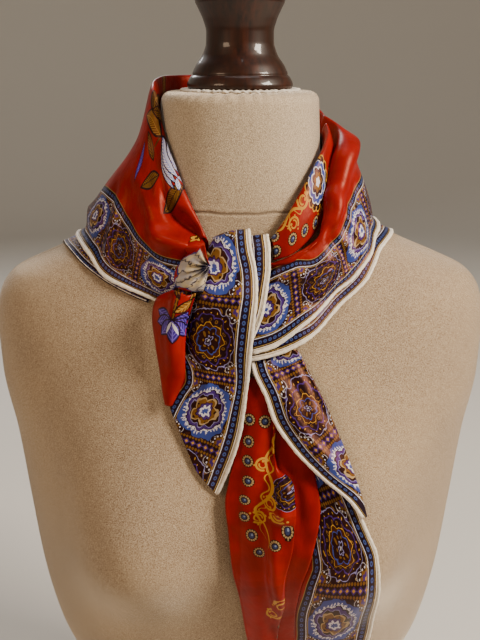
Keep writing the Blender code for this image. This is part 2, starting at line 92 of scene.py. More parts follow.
def column(table, number, at):
    """Monotone cubic through one column of a table, read at places of its first column: each slope is the
    weighted harmonic mean of its neighbours, and zero where they differ in sign."""
    x, y = table[:, 0], table[:, number]
    step = np.diff(x)
    slope = np.diff(y) / step
    inner = np.zeros(len(y))
    inner[0], inner[-1] = slope[0], slope[-1]
    same = slope[:-1] * slope[1:] > 0
    weight_a = 2 * step[1:] + step[:-1]
    weight_b = step[1:] + 2 * step[:-1]
    before = np.where(same, slope[:-1], 1.0)
    after = np.where(same, slope[1:], 1.0)
    inner[1:-1] = np.where(same, (weight_a + weight_b) / (weight_a / before + weight_b / after), 0.0)
    cell, length, part = cell_of(x, np.clip(at, x[0], x[-1]))
    return hermite(part, length, y[cell], y[cell + 1], inner[cell], inner[cell + 1])


def falling(table):
    """The table with its first column rising, as column() needs."""
    return table[np.argsort(table[:, 0])]


def catmull(table, at):
    """Cubic through a table's second column, with each slope taken from the two neighbours."""
    x, y = table[:, 0], table[:, 1]
    slope = np.gradient(y, x)
    cell, length, part = cell_of(x, at)
    return hermite(part, length, y[cell], y[cell + 1], slope[cell], slope[cell + 1])


def smoothstep(low, high, at):
    """0 below low, 1 above high, and 3 t squared less 2 t cubed between."""
    t = np.clip((at - low) / (high - low), 0, 1)
    return t * t * (3 - 2 * t)


def through(stops, places, at):
    """Smooth curve through places that stand at stops from 0 to 1, read at each value of at."""
    count = len(stops)
    spread = [np.stack([np.asarray(stops, float), np.eye(count)[i]], -1) for i in range(count)]
    weights = np.stack([catmull(table, at) for table in spread], -1)
    return np.tensordot(weights, np.stack(places, 0), axes=(1, 0))


def around(angle, radius, height):
    """A place round the neck: angle from the front toward -X."""
    turn = np.radians(angle)
    return np.stack([-radius * np.sin(turn), -radius * np.cos(turn), height + 0 * turn], -1)


print("halfway between 2 and 6 the curve reads", column(as_rows((0, 2), (1, 6)), 1, np.array([0.5])))

# %% [markdown]
# ## The dress form's shape
#
# A dress form is padding under a stretched velvet cover. Its sections are neither circles nor boxes, so
# each is a superellipse with its own width and depth, and the bust is two soft bells added in front. The
# same functions tell later how far any point of the cloth lies from the velvet.

# %% Sections of the form
FORM_HEIGHT = 640.0
FORM_SQUARENESS = 2.25
NECK_EDGE_ROUND = 7.0
CLEAR_OF_FORM = 1.7  # how far the middle of a cloth's wall keeps from the velvet

# The form, a row for each section from the base up: height, half width, depth in front, depth behind.
FORM_SECTIONS = as_rows(
    (0, 147, 100, 106), (50, 137, 96, 101), (105, 129, 92, 95), (140, 132, 92, 93), (166, 144, 94, 92),
    (205, 160, 98, 93), (260, 171, 101, 97), (320, 177, 103, 103), (380, 183, 101, 106),
    (430, 191, 96, 106), (470, 192, 86, 100), (492, 188, 78, 94), (506, 178, 71, 88), (516, 158, 66, 82),
    (527, 132, 62, 77), (540, 104, 60, 72), (552, 82, 59, 68), (566, 68, 58, 65), (590, 61, 57, 61),
    (620, 59, 57, 59), (640, 58, 56, 58),
)
# The bust: middle of each side, spread, and how far it stands out.
BUST_X, BUST_Z, BUST_OUT = 88.0, 312.0, 44.0
BUST_SPREAD_X, BUST_SPREAD_UP, BUST_SPREAD_DOWN = 62.0, 89.0, 56.0

# The turned cap's outline from the foot up: height over the neck, radius.
CAP_OUTLINE = as_rows(
    (0, 36), (1.5, 38.2), (4.5, 39), (8, 37.8), (11, 36), (18, 32.5), (26, 27.2), (34, 24.8), (41, 24.6),
    (49, 26.6), (57, 30.2), (64, 33.6), (70, 35), (75, 34.6), (79, 31.5), (81.5, 26), (83, 18), (83.8, 9),
    (84, 0),
)


def form_depth(x, z, behind):
    """How deep the form is at its middle line, with the bust added in front."""
    half_width = column(FORM_SECTIONS, 1, z)
    spread_z = np.where(z > BUST_Z, BUST_SPREAD_UP, BUST_SPREAD_DOWN)
    bust = BUST_OUT * np.exp(-(((np.abs(x) - BUST_X) / BUST_SPREAD_X) ** 2) - ((z - BUST_Z) / spread_z) ** 2)
    across = np.clip(np.abs(x) / half_width, 0, 1)
    bust = bust * np.clip(1.6 * (1 - across**FORM_SQUARENESS), 0, 1)
    return half_width, np.where(behind, column(FORM_SECTIONS, 3, z), column(FORM_SECTIONS, 2, z) + bust)


def form_front(x, z):
    """How far in front of the middle plane the form's surface lies."""
    half_width, depth = form_depth(x, z, np.zeros(np.shape(x), bool))
    across = np.clip(np.abs(x) / half_width, 0, 0.999)
    return depth * (1 - across**FORM_SQUARENESS) ** (1 / FORM_SQUARENESS)


def form_level(points):
    """Zero on the form's surface, above zero outside it."""
    x, y, z = points[..., 0], points[..., 1], points[..., 2]
    half_width, depth = form_depth(x, z, y > 0)
    level = np.abs(x / half_width) ** FORM_SQUARENESS + np.abs(y / depth) ** FORM_SQUARENESS
    return level ** (1 / FORM_SQUARENESS) - 1


def distance_and_normal(points):
    """Distance from the form and the way out of it, by the level's slope."""
    small = 0.5
    ways = np.eye(3) * small
    rises = [form_level(points + way) - form_level(points - way) for way in ways]
    slope = np.stack(rises, -1) / (2 * small)
    length = np.linalg.norm(slope, axis=-1)
    return form_level(points) / length, slope / length[..., None]


def clear_of_form(points, lift):
    """Moves out each point that lies closer to the form than its lift."""
    for _ in range(5):
        distance, normal = distance_and_normal(points)
        points = points + normal * np.maximum(lift - distance, 0)[..., None]
    return points


def settle_on_form(points, lift, share):
    """Moves points to their lift over the form, wholly where share is 1."""
    for _ in range(5):
        distance, normal = distance_and_normal(points)
        points = points + normal * ((lift - distance) * share)[..., None]
    return points


print("in front of the neck the form is", form_front(np.array([0.0]), np.array([600.0])), "mm deep")

# %% [markdown]
# ## From a grid of points to a mesh
#
# A surface of two parameters is a grid of points. Blender can take whole arrays at once, so the faces are
# worked out with index arithmetic rather than made one by one. A grid may close on itself, and a pole
# closes an end. The cloth's own map, in millimetres along and away from its hem, is kept as a UV map.


# %% Meshes from grids
def grid_object(name, points, look, cloth_map=None, around=False, poles=()):
    """A mesh of quads through points[i, j], in mm. around joins the last column to the first, and each
    pole in poles ("first", "last") closes that row with triangles to its middle."""
    rows, columns = points.shape[:2]
    places = points.reshape(-1, 3)
    number = np.arange(rows * columns).reshape(rows, columns)
    after = np.roll(number, -1, 1) if around else number[:, 1:]
    here = number if around else number[:, :-1]
    quads = np.stack([here[:-1], here[1:], after[1:], after[:-1]], -1).reshape(-1, 4)
    triangles = np.zeros((0, 3), int)
    for pole in poles:
        row = 0 if pole == "first" else rows - 1
        tip = np.full(here.shape[1], len(places))
        places = np.concatenate([places, points[row].mean(0)[None]])
        fan = (tip, here[row], after[row]) if pole == "first" else (here[row], tip, after[row])
        triangles = np.concatenate([triangles, np.stack(fan, -1)])
    corners = np.concatenate([triangles.ravel(), quads.ravel()])
    sizes = np.concatenate([np.full(len(triangles), 3), np.full(len(quads), 4)])
    mesh = bpy.data.meshes.new(name)
    mesh.vertices.add(len(places))
    mesh.loops.add(len(corners))
    mesh.polygons.add(len(sizes))
    mesh.vertices.foreach_set("co", (places * MM).astype(np.float32).ravel())
    mesh.loops.foreach_set("vertex_index", corners.astype(np.int32))
    starts = np.concatenate([[0], np.cumsum(sizes)[:-1]])
    mesh.polygons.foreach_set("loop_start", starts.astype(np.int32))
    mesh.update(calc_edges=True)
    if cloth_map is not None:
        flat = cloth_map.reshape(-1, 2)
        flat = np.concatenate([flat, np.zeros((len(places) - len(flat), 2))])
        layer = mesh.uv_layers.new(name="cloth_mm")
        layer.uv.foreach_set("vector", flat[corners].astype(np.float32).ravel())
    mesh.validate()
    mesh.shade_smooth()
    mesh.materials.append(look)
    made = bpy.data.objects.new(name, mesh)
    bpy.context.scene.collection.objects.link(made)
    return made


def outward(points, around=False):
    """Unit normal of a grid, the way its faces look: the slope down the rows crossed with that along them."""
    padded = np.concatenate([points[:, -1:], points, points[:, :1]], 1) if around else points
    down, along = np.gradient(padded, axis=0), np.gradient(padded, axis=1)
    normal = np.cross(down, along)
    normal = normal / np.maximum(np.linalg.norm(normal, axis=-1, keepdims=True), 1e-9)
    return normal[:, 1:-1] if around else normal


def pressed(points, height, around=False):
    """The grid pushed out along its own normals by a height field, in mm."""
    return points + outward(points, around) * height[..., None]


def smoothed(points, passes):
    """The grid with each point drawn toward the mean of its neighbours along the rows, ends kept."""
    for _ in range(passes):
        middle = 0.25 * points[:, :-2] + 0.5 * points[:, 1:-1] + 0.25 * points[:, 2:]
        points = np.concatenate([points[:, :1], middle, points[:, -1:]], 1)
    return points


def creases(cloth_map, rows):
    """Soft ridges and troughs: each row is a straight line on the cloth, in mm, with a bell-shaped
    section of its own width and depth that fades toward both ends of the line."""
    along, away = cloth_map[..., 0], cloth_map[..., 1]
    height = np.zeros(along.shape)
    for along_0, away_0, along_1, away_1, width, depth in rows:
        run, rise = along_1 - along_0, away_1 - away_0
        length = math.hypot(run, rise)
        part = ((along - along_0) * run + (away - away_0) * rise) / length**2
        off = ((along - along_0) * rise - (away - away_0) * run) / length
        fade = smoothstep(-0.2, 0.25, part) * (1 - smoothstep(0.75, 1.2, part))
        height += depth * fade * np.exp(-((off / width) ** 2))
    return height


def turned_round(radii, heights, turn):
    """An outline of radii and heights carried round the axis, as on a lathe."""
    return np.stack(
        [radii[:, None] * np.cos(turn), radii[:, None] * np.sin(turn), heights[:, None] + 0 * turn], -1,
    )


print("grid helpers are ready")

# %% [markdown]
# ## Finishes
#
# The materials come before the pieces that wear them. One function turns hex colours to Blender's linear
# ones, and one adds any node with its settings and links. All patterns read the object's own coordinates
# or the cloth's map, so they stay in place when the part moves.


# %% Colours and nodes
def linear(code):
    """An sRGB hex colour as linear RGBA: each channel is divided by 12.92 when small, else raised to 2.4."""
    shares = np.array([int(code[i:i + 2], 16) / 255 for i in (1, 3, 5)])
    bent = np.where(shares <= 0.04045, shares / 12.92, ((shares + 0.055) / 1.055) ** 2.4)
    return (*bent.tolist(), 1.0)


def add(tree, kind, *feeds, take=0, **settings):
    """Adds one node, with its operation after a space, gives it its settings, feeds its sockets in turn or
    by name, and returns the output that is taken. A feed is another node's output, a number, a vector or a
    hex colour, and None leaves the socket."""
    kind, _, operation = kind.partition(" ")
    made = tree.nodes.new("ShaderNode" + kind)
    if operation:
        made.operation = operation
    for name, value in settings.items():
        setattr(made, name, value)
    named = feeds[0] if feeds and isinstance(feeds[0], dict) else dict(enumerate(feeds))
    for place, value in named.items():
        if isinstance(value, bpy.types.NodeSocket):
            tree.links.new(value, made.inputs[place])
        elif value is not None:
            made.inputs[place].default_value = linear(value) if isinstance(value, str) else value
    return made.outputs[take]


def two_of(tree, vector):
    """The first two numbers of a vector."""
    split = add(tree, "SeparateXYZ", vector).node
    return split.outputs[0], split.outputs[1]


def placed(tree, cloth, u, v, turn, scale=1.0):
    """The cloth's map as seen from (u, v), turned by degrees and scaled."""
    spot, lean, size = (u, v, 0.0), (0.0, 0.0, math.radians(turn)), (scale, scale, 1.0)
    return add(tree, "Mapping", cloth, spot, lean, size, vector_type="TEXTURE")


def under(tree, value, limit, colour, ink):
    """Paints ink over colour where a value is under its limit."""
    return add(tree, "MixRGB", add(tree, "Math LESS_THAN", value, limit), colour, ink)


def over(tree, value, limit, colour, ink):
    """Paints ink over colour where a value is over its limit."""
    return add(tree, "MixRGB", add(tree, "Math GREATER_THAN", value, limit), colour, ink)


def new_material(name, numbers):
    """A material with a Principled shader whose plain numbers are set on its own sockets."""
    made = bpy.data.materials.new(name)
    made.use_nodes = True
    shader = made.node_tree.nodes["Principled BSDF"]
    for socket, value in numbers.items():
        shader.inputs[socket].default_value = linear(value) if isinstance(value, str) else value
    return made, made.node_tree, shader


def wear(shader, colour, bump=None):
    """Gives the shader its colour and, where there is one, its fine relief."""
    links = shader.id_data.links
    links.new(colour, shader.inputs["Base Color"])
    if bump:
        links.new(bump, shader.inputs["Normal"])


def cloud(tree, vector, scale, detail, low, high, roughness=0.5):
    """Noise stretched so that low becomes 0 and high 1."""
    feeds = {"Vector": vector, "Scale": scale, "Detail": detail, "Roughness": roughness}
    return ramp(tree, add(tree, "TexNoise", feeds), low, high)


def ramp(tree, value, low, high, start=0.0, end=1.0):
    """A value moved from between low and high to between start and end, and kept there."""
    feeds = {"Value": value, "From Min": low, "From Max": high, "To Min": start, "To Max": end}
    return add(tree, "MapRange", feeds)


def steps(tree, value, *rows):
    """A value passed through Math nodes in turn: each row is an operation and its other numbers."""
    for operation, *numbers in rows:
        value = add(tree, "Math " + operation, value, *numbers)
    return value


print("cream in linear light is", linear("#E8DCCB"))

# %% [markdown]
# ## Velvet
#
# The cover is cotton velvet: a woven ground with a short upright pile. Pile sends light back at grazing
# angles, which is what Sheen does, and where it has been brushed another way it turns lighter or darker.
# Toward the top of the neck the colour is painted lighter: a painted highlight for the light that falls
# there.
# The pile itself is about 0.3 mm apart, too fine to show, so it is drawn as a 1 mm speckle.

# %% The velvet
velvet, tree, shader = new_material(
    "cotton velvet, beige",
    {"Roughness": 0.9, "Sheen Weight": 1.0, "Sheen Roughness": 0.32, "Sheen Tint": "#FFF4E4"},
)
place = add(tree, "TexCoord", take=3)
speckle = add(tree, "TexNoise", {"Vector": place, "Scale": 1400.0, "Detail": 3.0, "Roughness": 0.8})
brushed = cloud(tree, place, 8.0, 4.0, 0.35, 0.65, 0.55)
ground = add(tree, "MixRGB", brushed, "#7C5B3C", "#A27F56")
# Painted highlight: the velvet's colour turns lighter toward the top of the neck.
up = add(tree, "SeparateXYZ", place, take=2)
up = ramp(tree, up, 0.52, 0.6, 0.0, 0.42)
ground = add(tree, "MixRGB", up, ground, "#E6D6BC")
pile = add(tree, "MixRGB", ramp(tree, speckle, 0.38, 0.66), "#5A432E", "#F4E2C2")
ground = add(tree, "MixRGB", 0.5, ground, pile)
seam = add(tree, "UVMap", uv_map="cloth_mm")
seam = add(tree, "SeparateXYZ", seam)
seam = ramp(tree, seam, 0.5, 1.3, 0.6, 0.0)
rise = add(tree, "Bump", {"Strength": 0.6, "Distance": 0.0008, "Height": speckle})
wear(shader, add(tree, "MixRGB", seam, ground, "#4A3828"), rise)
print("velvet has", len(tree.nodes), "nodes")

# %% [markdown]
# ## Varnished wood
#
# The cap is a turned hardwood, stained nearly black-brown and varnished. The varnish is a clear coat over
# the grain: it gives the sharp highlights, while the wood under it stays soft. Grain runs up the axis.

# %% The wood
varnish = {"Coat Weight": 0.6, "Coat Roughness": 0.05, "Coat IOR": 1.42}
wood, tree, shader = new_material(
    "turned hardwood, dark stain and varnish",
    {"Roughness": 0.42, "Specular IOR Level": 0.25, **varnish},
)
place = add(tree, "TexCoord", take=3)
stretched = add(tree, "Mapping", place, None, None, (1.0, 1.0, 0.09))
streak = cloud(tree, stretched, 240.0, 6.0, 0.34, 0.68, 0.6)
grain = add(tree, "MixRGB", streak, "#150602", "#431C08")
grain = add(tree, "MixRGB", cloud(tree, stretched, 40.0, 2.0, 0.35, 0.65), grain, "#241003")
wear(shader, grain, add(tree, "Bump", {"Strength": 0.12, "Distance": 0.0003, "Height": streak}))
print("wood has", len(tree.nodes), "nodes")

# %% [markdown]
# ## The print, drawn with nodes
#
# Screen-printed silk has flat inks with crisp edges. A picture could be wrapped on, but it would blur in a
# close view and this part takes none, so the print is worked out from the cloth's map: u runs along the
# hem and v away from it, both in millimetres. Every motif is a stack of lobed discs, rings of dots and
# arcs, listed in tables. The composition is a generic one: a beaded edge, a band of round medallions, and
# a red field with flower sprays, in the colours and at the scale of such scarves.

# %% Inks
RED = "#930A03"
DEEP_RED = "#720602"
NAVY = "#0B0A1C"
NIGHT = "#100711"
BEAD_BLUE = "#384B80"
BLUE = "#2D4184"
PURPLE = "#3A2468"
OCHRE = "#6C481B"
GOLD = "#B5832F"
BROWN = "#37190B"
MAROON = "#1A080A"
WHITE = "#CFC9CF"
CREAM = "#E2D5C1"
TAN = "#A58A5E"
LILAC = "#7F7AA6"
print("thirteen inks and two reds for the ground")

# %% [markdown]
# The tables below are the motifs, from the lowest layer up. Discs: how many lobes, a turn, the rim's
# radius, how far the lobes swing, an ink. Dots: how many, a turn, the ring's radius, a dot's radius, an
# ink. Arcs: from, to (degrees), the radius, half a line's width, an ink. Vines: half the length, the
# wavelength, how far it swings, half the line's width at its middle, an ink.

# %% Motifs
DARK_MEDALLION = [
    ("disc", 8, 0, 18.4, 1.6, LILAC), ("disc", 8, 0, 17.9, 1.6, MAROON),
    ("dots", 24, 0, 16.6, 0.5, GOLD), ("disc", 8, 0.5, 13.9, 2.3, PURPLE),
    ("disc", 8, 0.5, 13.1, 2.3, NIGHT), ("dots", 16, 0, 12.3, 1.1, OCHRE),
    ("dots", 16, 0, 12.3, 0.55, MAROON), ("disc", 8, 0, 9.6, 1.9, GOLD), ("disc", 8, 0, 9.1, 1.9, BROWN),
    ("disc", 8, 0.5, 7.4, 1.5, BLUE), ("disc", 8, 0.5, 6.7, 1.5, MAROON),
    ("dots", 8, 0, 5.4, 0.9, OCHRE), ("disc", 6, 0, 2.4, 1.4, LILAC), ("disc", 6, 0, 1.8, 1.2, NIGHT),
    ("disc", 6, 0, 0.7, 0.6, WHITE),
]
LIGHT_MEDALLION = [
    ("disc", 4, 0.5, 19.4, 2.6, NIGHT), ("disc", 4, 0.5, 18.8, 2.6, BLUE),
    ("dots", 36, 0, 16.9, 0.7, WHITE), ("dots", 18, 0, 17.9, 0.5, LILAC),
    ("disc", 36, 0.5, 15.6, 0.6, WHITE), ("dots", 36, 0.5, 15.3, 0.42, NAVY),
    ("dots", 18, 0.5, 14.6, 0.5, WHITE), ("disc", 10, 0, 13.9, 1.3, NAVY),
    ("disc", 10, 0, 13.3, 1.3, PURPLE), ("disc", 10, 0, 11.5, 1.5, LILAC),
    ("disc", 10, 0, 11, 1.5, MAROON), ("disc", 5, 0.25, 7.6, 3.9, TAN), ("disc", 5, 0.25, 7, 2.9, OCHRE),
    ("dots", 5, 0.25, 9, 0.9, MAROON), ("disc", 10, 0.5, 5.7, 1.1, MAROON),
    ("disc", 10, 0.5, 5.1, 1.1, PURPLE), ("disc", 7, 0, 3, 1.7, WHITE), ("disc", 7, 0, 1.6, 0.9, BLUE),
]
CORNER_FLOWER = [
    ("disc", 7, 0, 6.2, 2.4, "#A9A3A8"), ("disc", 7, 0, 5.7, 2.4, MAROON),
    ("dots", 14, 0.5, 5.6, 0.6, WHITE), ("disc", 8, 0, 3.8, 1.5, OCHRE), ("disc", 6, 0, 2.4, 1, PURPLE),
    ("disc", 1, 0, 1, 0, GOLD),
]
ROSETTE = [
    ("disc", 1, 0, 5.6, 0, MAROON), ("dots", 13, 0, 4.2, 0.85, TAN), ("dots", 13, 0, 3.4, 0.6, TAN),
    ("disc", 1, 0, 3.2, 0, NAVY), ("disc", 1, 0, 2.2, 0, "#2C3A5E"),
    ("dots", 1, 0.6, 0.9, 0.9, "#7C87A2"),
]
BUD = [("disc", 5, 0, 3.4, 3.2, MAROON), ("disc", 5, 0, 2.8, 2.9, GOLD), ("disc", 5, 0, 1.4, 1, BROWN)]
SCROLL = [
    ("arc", -60, 200, 6, 1, GOLD), ("arc", 70, 330, 3.4, 0.7, GOLD), ("dots", 1, 0, 3.4, 1.3, GOLD),
    ("dots", 3, 0.2, 7.6, 0.9, GOLD),
]
TAIL_VINE = [("vine", 52, 46, 5, 1.25, GOLD), ("vine", 46, 15.3, 2.6, 0.6, GOLD)]
FOLD_VINE = [("vine", 22, 27, 3.6, 1.2, GOLD), ("vine", 20, 13.5, 4, 0.5, GOLD)]
SCALLOP = [("vine", 30, 5.2, 1.1, 1.2, GOLD), ("vine", 28, 2.6, 0.4, 0.35, NAVY)]
CENTRE_PIECE = [
    ("disc", 16, 0, 16.6, 1.5, GOLD), ("disc", 16, 0, 15.6, 1.5, MAROON),
    ("dots", 16, 0.5, 15.2, 0.9, GOLD), ("disc", 11, 0, 12.2, 1.6, WHITE),
    ("disc", 11, 0, 11.4, 1.5, BLUE), ("disc", 7, 0, 7.8, 2.2, WHITE), ("disc", 7, 0, 7, 2.1, NAVY),
    ("disc", 7, 0, 4.6, 1.8, OCHRE), ("disc", 5, 0, 2.2, 1.1, WHITE),
]
print("ten motifs")


# %% Drawing a motif
def far_out(tree, x, y):
    """How far (x, y) lies from the origin."""
    return add(tree, "VectorMath LENGTH", add(tree, "CombineXYZ", x, y), take=1)


def repeat(tree, value, pitch, scale, start, ahead=0.0):
    """The share of its pitch that a value has passed, scaled and moved."""
    return steps(tree, value, ("MULTIPLY_ADD", 1 / pitch, ahead), ("FRACT",), ("MULTIPLY_ADD", scale, start))


def motif(tree, colour, local, rows):
    """Paints the rows of one motif over colour, round the origin of local. A disc covers the places whose
    distance is under radius + swing times |cos| of half the lobe angle. Dots fold the turn into equal
    wedges and measure from each wedge's dot. An arc covers a thin ring between two directions. A vine is
    a cosine line whose width falls to nothing at both ends."""
    x, y = two_of(tree, local)
    reach = add(tree, "VectorMath LENGTH", local, take=1)
    turn = add(tree, "Math ARCTAN2", y, x)
    for kind, first, second, radius, size, ink in rows:
        if kind == "disc":
            lobes = ("MULTIPLY_ADD", first / 2, second * math.pi / 2)
            rim = steps(tree, turn, lobes, ("COSINE",), ("ABSOLUTE",), ("MULTIPLY_ADD", size, radius))
            cover = steps(tree, reach, ("LESS_THAN", rim))
        elif kind == "dots":
            wedge = repeat(tree, turn, math.tau / first, math.tau / first, -math.pi / first, second + 0.5)
            out = steps(tree, wedge, ("COSINE",), ("MULTIPLY", reach), ("SUBTRACT", radius))
            side = steps(tree, wedge, ("SINE",), ("MULTIPLY", reach))
            cover = steps(tree, far_out(tree, out, side), ("LESS_THAN", size))
        elif kind == "vine":
            wave = steps(tree, x, ("MULTIPLY", math.tau / second), ("COSINE",))
            off = steps(tree, wave, ("MULTIPLY_ADD", -radius, y), ("ABSOLUTE",))
            taper = steps(tree, x, ("MULTIPLY", x), ("MULTIPLY_ADD", -size / first**2, size))
            cover = steps(tree, off, ("LESS_THAN", taper))
        else:
            middle, half = math.radians((first + second) / 2), math.radians((second - first) / 2)
            away = steps(tree, turn, ("SUBTRACT", middle), ("WRAP", math.pi, -math.pi), ("ABSOLUTE",))
            within = steps(tree, away, ("LESS_THAN", half))
            cover = steps(tree, reach, ("COMPARE", radius, size), ("MULTIPLY", within))
        colour = add(tree, "MixRGB", cover, colour, ink)
    return colour


print("a light medallion has", len(LIGHT_MEDALLION), "layers")

# %% [markdown]
# The border is the widest part of the print. Distances from the hem, in millimetres: the beaded line ends
# at 11, the medallions fill 12 to 54, and a second beaded line ends at 61.5, where the red field starts.

# %% The border
MEDALLION_PITCH = 50.0
BAND_MIDDLE = 33.0
BEAD_PITCH = 3.8
BEAD_LINES = [(5, 11.2), (55, 61.5)]
BEAD_DISCS = [(1.35, BEAD_BLUE), (0.5, NAVY)]
LINE_HALF = 0.32
BORDER_END = 61.9
# The thin darker line just inside the cream edge is painted shadow beside the rolled hem.
HEM_END, HEM_SHADOW_LINE, HEM_SHADOW_HALF = 3.9, 2.7, 0.35
SWAY, SWAY_SCALE = 5.5, 0.16
SPRIG_SCALE = 0.36
CORNER_X, CORNER_Y = 19.6, 19.4
STRIP_HALF = 4.6
LOZENGE_HALF_LONG, LOZENGE_HALF_WIDE = 2.6, 2.3
DOT_PITCH, DOT_FROM_EDGE, DOT_RADIUS = 2.4, 3.5, 0.95
THIN_LINES = [
    (5, "#8E7440"), (11.6, WHITE), (12.9, "#8E7440"), (53.4, "#8E7440"), (54.8, WHITE),
    (61.7, "#8E7440"),
]


def line_at(tree, value, place, half, colour, ink):
    """Paints ink over colour where a value is within half of a place."""
    return add(tree, "MixRGB", steps(tree, value, ("COMPARE", place, half)), colour, ink)


def border(tree, colour, along, away):
    """Paints the border over colour. Cells of one pitch hold a dark and a light medallion in turn; the
    cell's edges carry a chain of lozenges between two rows of dots; beaded and thin lines frame it all."""
    cell = steps(tree, along, ("DIVIDE", MEDALLION_PITCH))
    x = steps(tree, cell, ("FRACT",), ("MULTIPLY_ADD", MEDALLION_PITCH, -MEDALLION_PITCH / 2))
    y = steps(tree, away, ("SUBTRACT", BAND_MIDDLE))
    odd = steps(tree, cell, ("MULTIPLY", 0.5), ("FRACT",), ("GREATER_THAN", 0.5))
    flat = add(tree, "CombineXYZ", along, away)
    drift = add(tree, "TexNoise", {"Vector": flat, "Scale": SWAY_SCALE, "Detail": 1.0}, take=1)
    drift = add(tree, "VectorMath SUBTRACT", drift, (0.5, 0.5, 0.5))
    drift = add(tree, "VectorMath SCALE", {0: drift, "Scale": SWAY})
    local = add(tree, "VectorMath ADD", add(tree, "CombineXYZ", x, y), drift)
    swayed = add(tree, "VectorMath ADD", flat, drift)
    sprig = add(tree, "TexVoronoi", {"Vector": swayed, "Scale": SPRIG_SCALE, "Randomness": 0.9})
    pick = add(tree, "SeparateXYZ", sprig.node.outputs[1])
    ink = over(tree, pick, 0.45, BROWN, OCHRE)
    ink = over(tree, pick, 0.72, ink, PURPLE)
    ink = over(tree, pick, 0.86, ink, TAN)
    band = under(tree, sprig, 0.38, NIGHT, ink)
    band = under(tree, sprig, 0.15, band, MAROON)
    from_middle = steps(tree, x, ("ABSOLUTE",))
    fold_x = steps(tree, from_middle, ("SUBTRACT", CORNER_X))
    fold_y = steps(tree, y, ("ABSOLUTE",), ("SUBTRACT", CORNER_Y))
    band = motif(tree, band, add(tree, "CombineXYZ", fold_x, fold_y), CORNER_FLOWER)
    dark = motif(tree, band, local, DARK_MEDALLION)
    light = motif(tree, band, local, LIGHT_MEDALLION)
    band = add(tree, "MixRGB", odd, dark, light)
    edge = add(tree, "Math SUBTRACT", MEDALLION_PITCH / 2, from_middle)
    strip = steps(tree, edge, ("LESS_THAN", STRIP_HALF))
    chain = steps(tree, repeat(tree, away, 2 * LOZENGE_HALF_LONG, 2.0, -1.0), ("ABSOLUTE",))
    lozenge = steps(tree, edge, ("MULTIPLY_ADD", 1 / LOZENGE_HALF_WIDE, chain))
    gap = under(tree, lozenge, 1.0, NIGHT, PURPLE)
    gap = under(tree, lozenge, 0.5, gap, GOLD)
    dot_y = repeat(tree, away, DOT_PITCH, DOT_PITCH, -DOT_PITCH / 2)
    dot_x = steps(tree, edge, ("SUBTRACT", DOT_FROM_EDGE))
    gap = under(tree, far_out(tree, dot_x, dot_y), DOT_RADIUS, gap, OCHRE)
    band = add(tree, "MixRGB", strip, band, gap)
    colour = under(tree, away, BORDER_END, colour, band)
    bead_x = repeat(tree, along, BEAD_PITCH, BEAD_PITCH, -BEAD_PITCH / 2)
    for low, high in BEAD_LINES:
        middle = (low + high) / 2
        colour = line_at(tree, away, middle, (high - low) / 2, colour, NAVY)
        bead = far_out(tree, bead_x, steps(tree, away, ("SUBTRACT", middle)))
        for size, ink in BEAD_DISCS:
            colour = under(tree, bead, size, colour, ink)
    for place, ink in THIN_LINES:
        colour = line_at(tree, away, place, LINE_HALF, colour, ink)
    colour = under(tree, away, HEM_END, colour, CREAM)
    # Painted shadow: a thin darker line beside the rolled hem.
    return line_at(tree, away, HEM_SHADOW_LINE, HEM_SHADOW_HALF, colour, "#A8967C")


# Leaf and petal inks: the rim, the body and the vein.
OLIVE = (NIGHT, "#6B4718", MAROON)
AUTUMN = (NIGHT, "#6A3F14", "#A47C38")
DUSK = (NIGHT, "#33190C", "#7E5A26")
VIOLET = (NAVY, "#2F1B78", "#6A5AB4")
PALE = (NAVY, "#C9C6D2", "#5E6DBA")
STEM = (MAROON, MAROON, OCHRE)


def leaf(tree, colour, cloth, u, v, lean, length, width, inks):
    """A pointed leaf: places where |y| is under width times 1 - (x / half the length) squared, with a dark
    rim, a body and a vein. lean is its direction in degrees."""
    x, y = two_of(tree, placed(tree, cloth, u, v, lean))
    far = steps(tree, x, ("MULTIPLY", x), ("MULTIPLY", 4 / length**2))
    y = steps(tree, y, ("ABSOLUTE",))
    fill = steps(tree, y, ("MULTIPLY", 1 / width), ("ADD", far))
    slant = steps(tree, x, ("MULTIPLY", 0.9))
    lines = steps(tree, y, ("MULTIPLY", 1.4), ("ADD", slant), ("MULTIPLY", 0.36), ("FRACT",))
    vein = steps(tree, lines, ("LESS_THAN", 0.3))
    body = add(tree, "MixRGB", vein, inks[1], inks[2])
    body = under(tree, y, 0.35, body, inks[2])
    return under(tree, fill, 0.76, under(tree, fill, 1.0, colour, inks[0]), body)


def petals(u, v, leans, length, width, inks):
    """Leaves that all start at one point and open like a fan."""
    turns = [math.radians(lean) for lean in leans]
    middles = [(u + 0.46 * length * math.cos(turn), v + 0.46 * length * math.sin(turn)) for turn in turns]
    return [(*middle, lean, length, width, inks) for middle, lean in zip(middles, leans)]


# The border is the same on every stretch, so it is drawn once and shared as a group of nodes.
border_print = bpy.data.node_groups.new("border print", "ShaderNodeTree")
for label, way, kind in (
    ("Ground", "INPUT", "NodeSocketColor"),
    ("Along", "INPUT", "NodeSocketFloat"),
    ("Away", "INPUT", "NodeSocketFloat"),
    ("Painted", "OUTPUT", "NodeSocketColor"),
):
    border_print.interface.new_socket(label, in_out=way, socket_type=kind)
given = border_print.nodes.new("NodeGroupInput").outputs
painted = border(border_print, given[0], given[1], given[2])
border_print.links.new(painted, border_print.nodes.new("NodeGroupOutput").inputs[0])
print("the border has", len(border_print.nodes), "nodes")


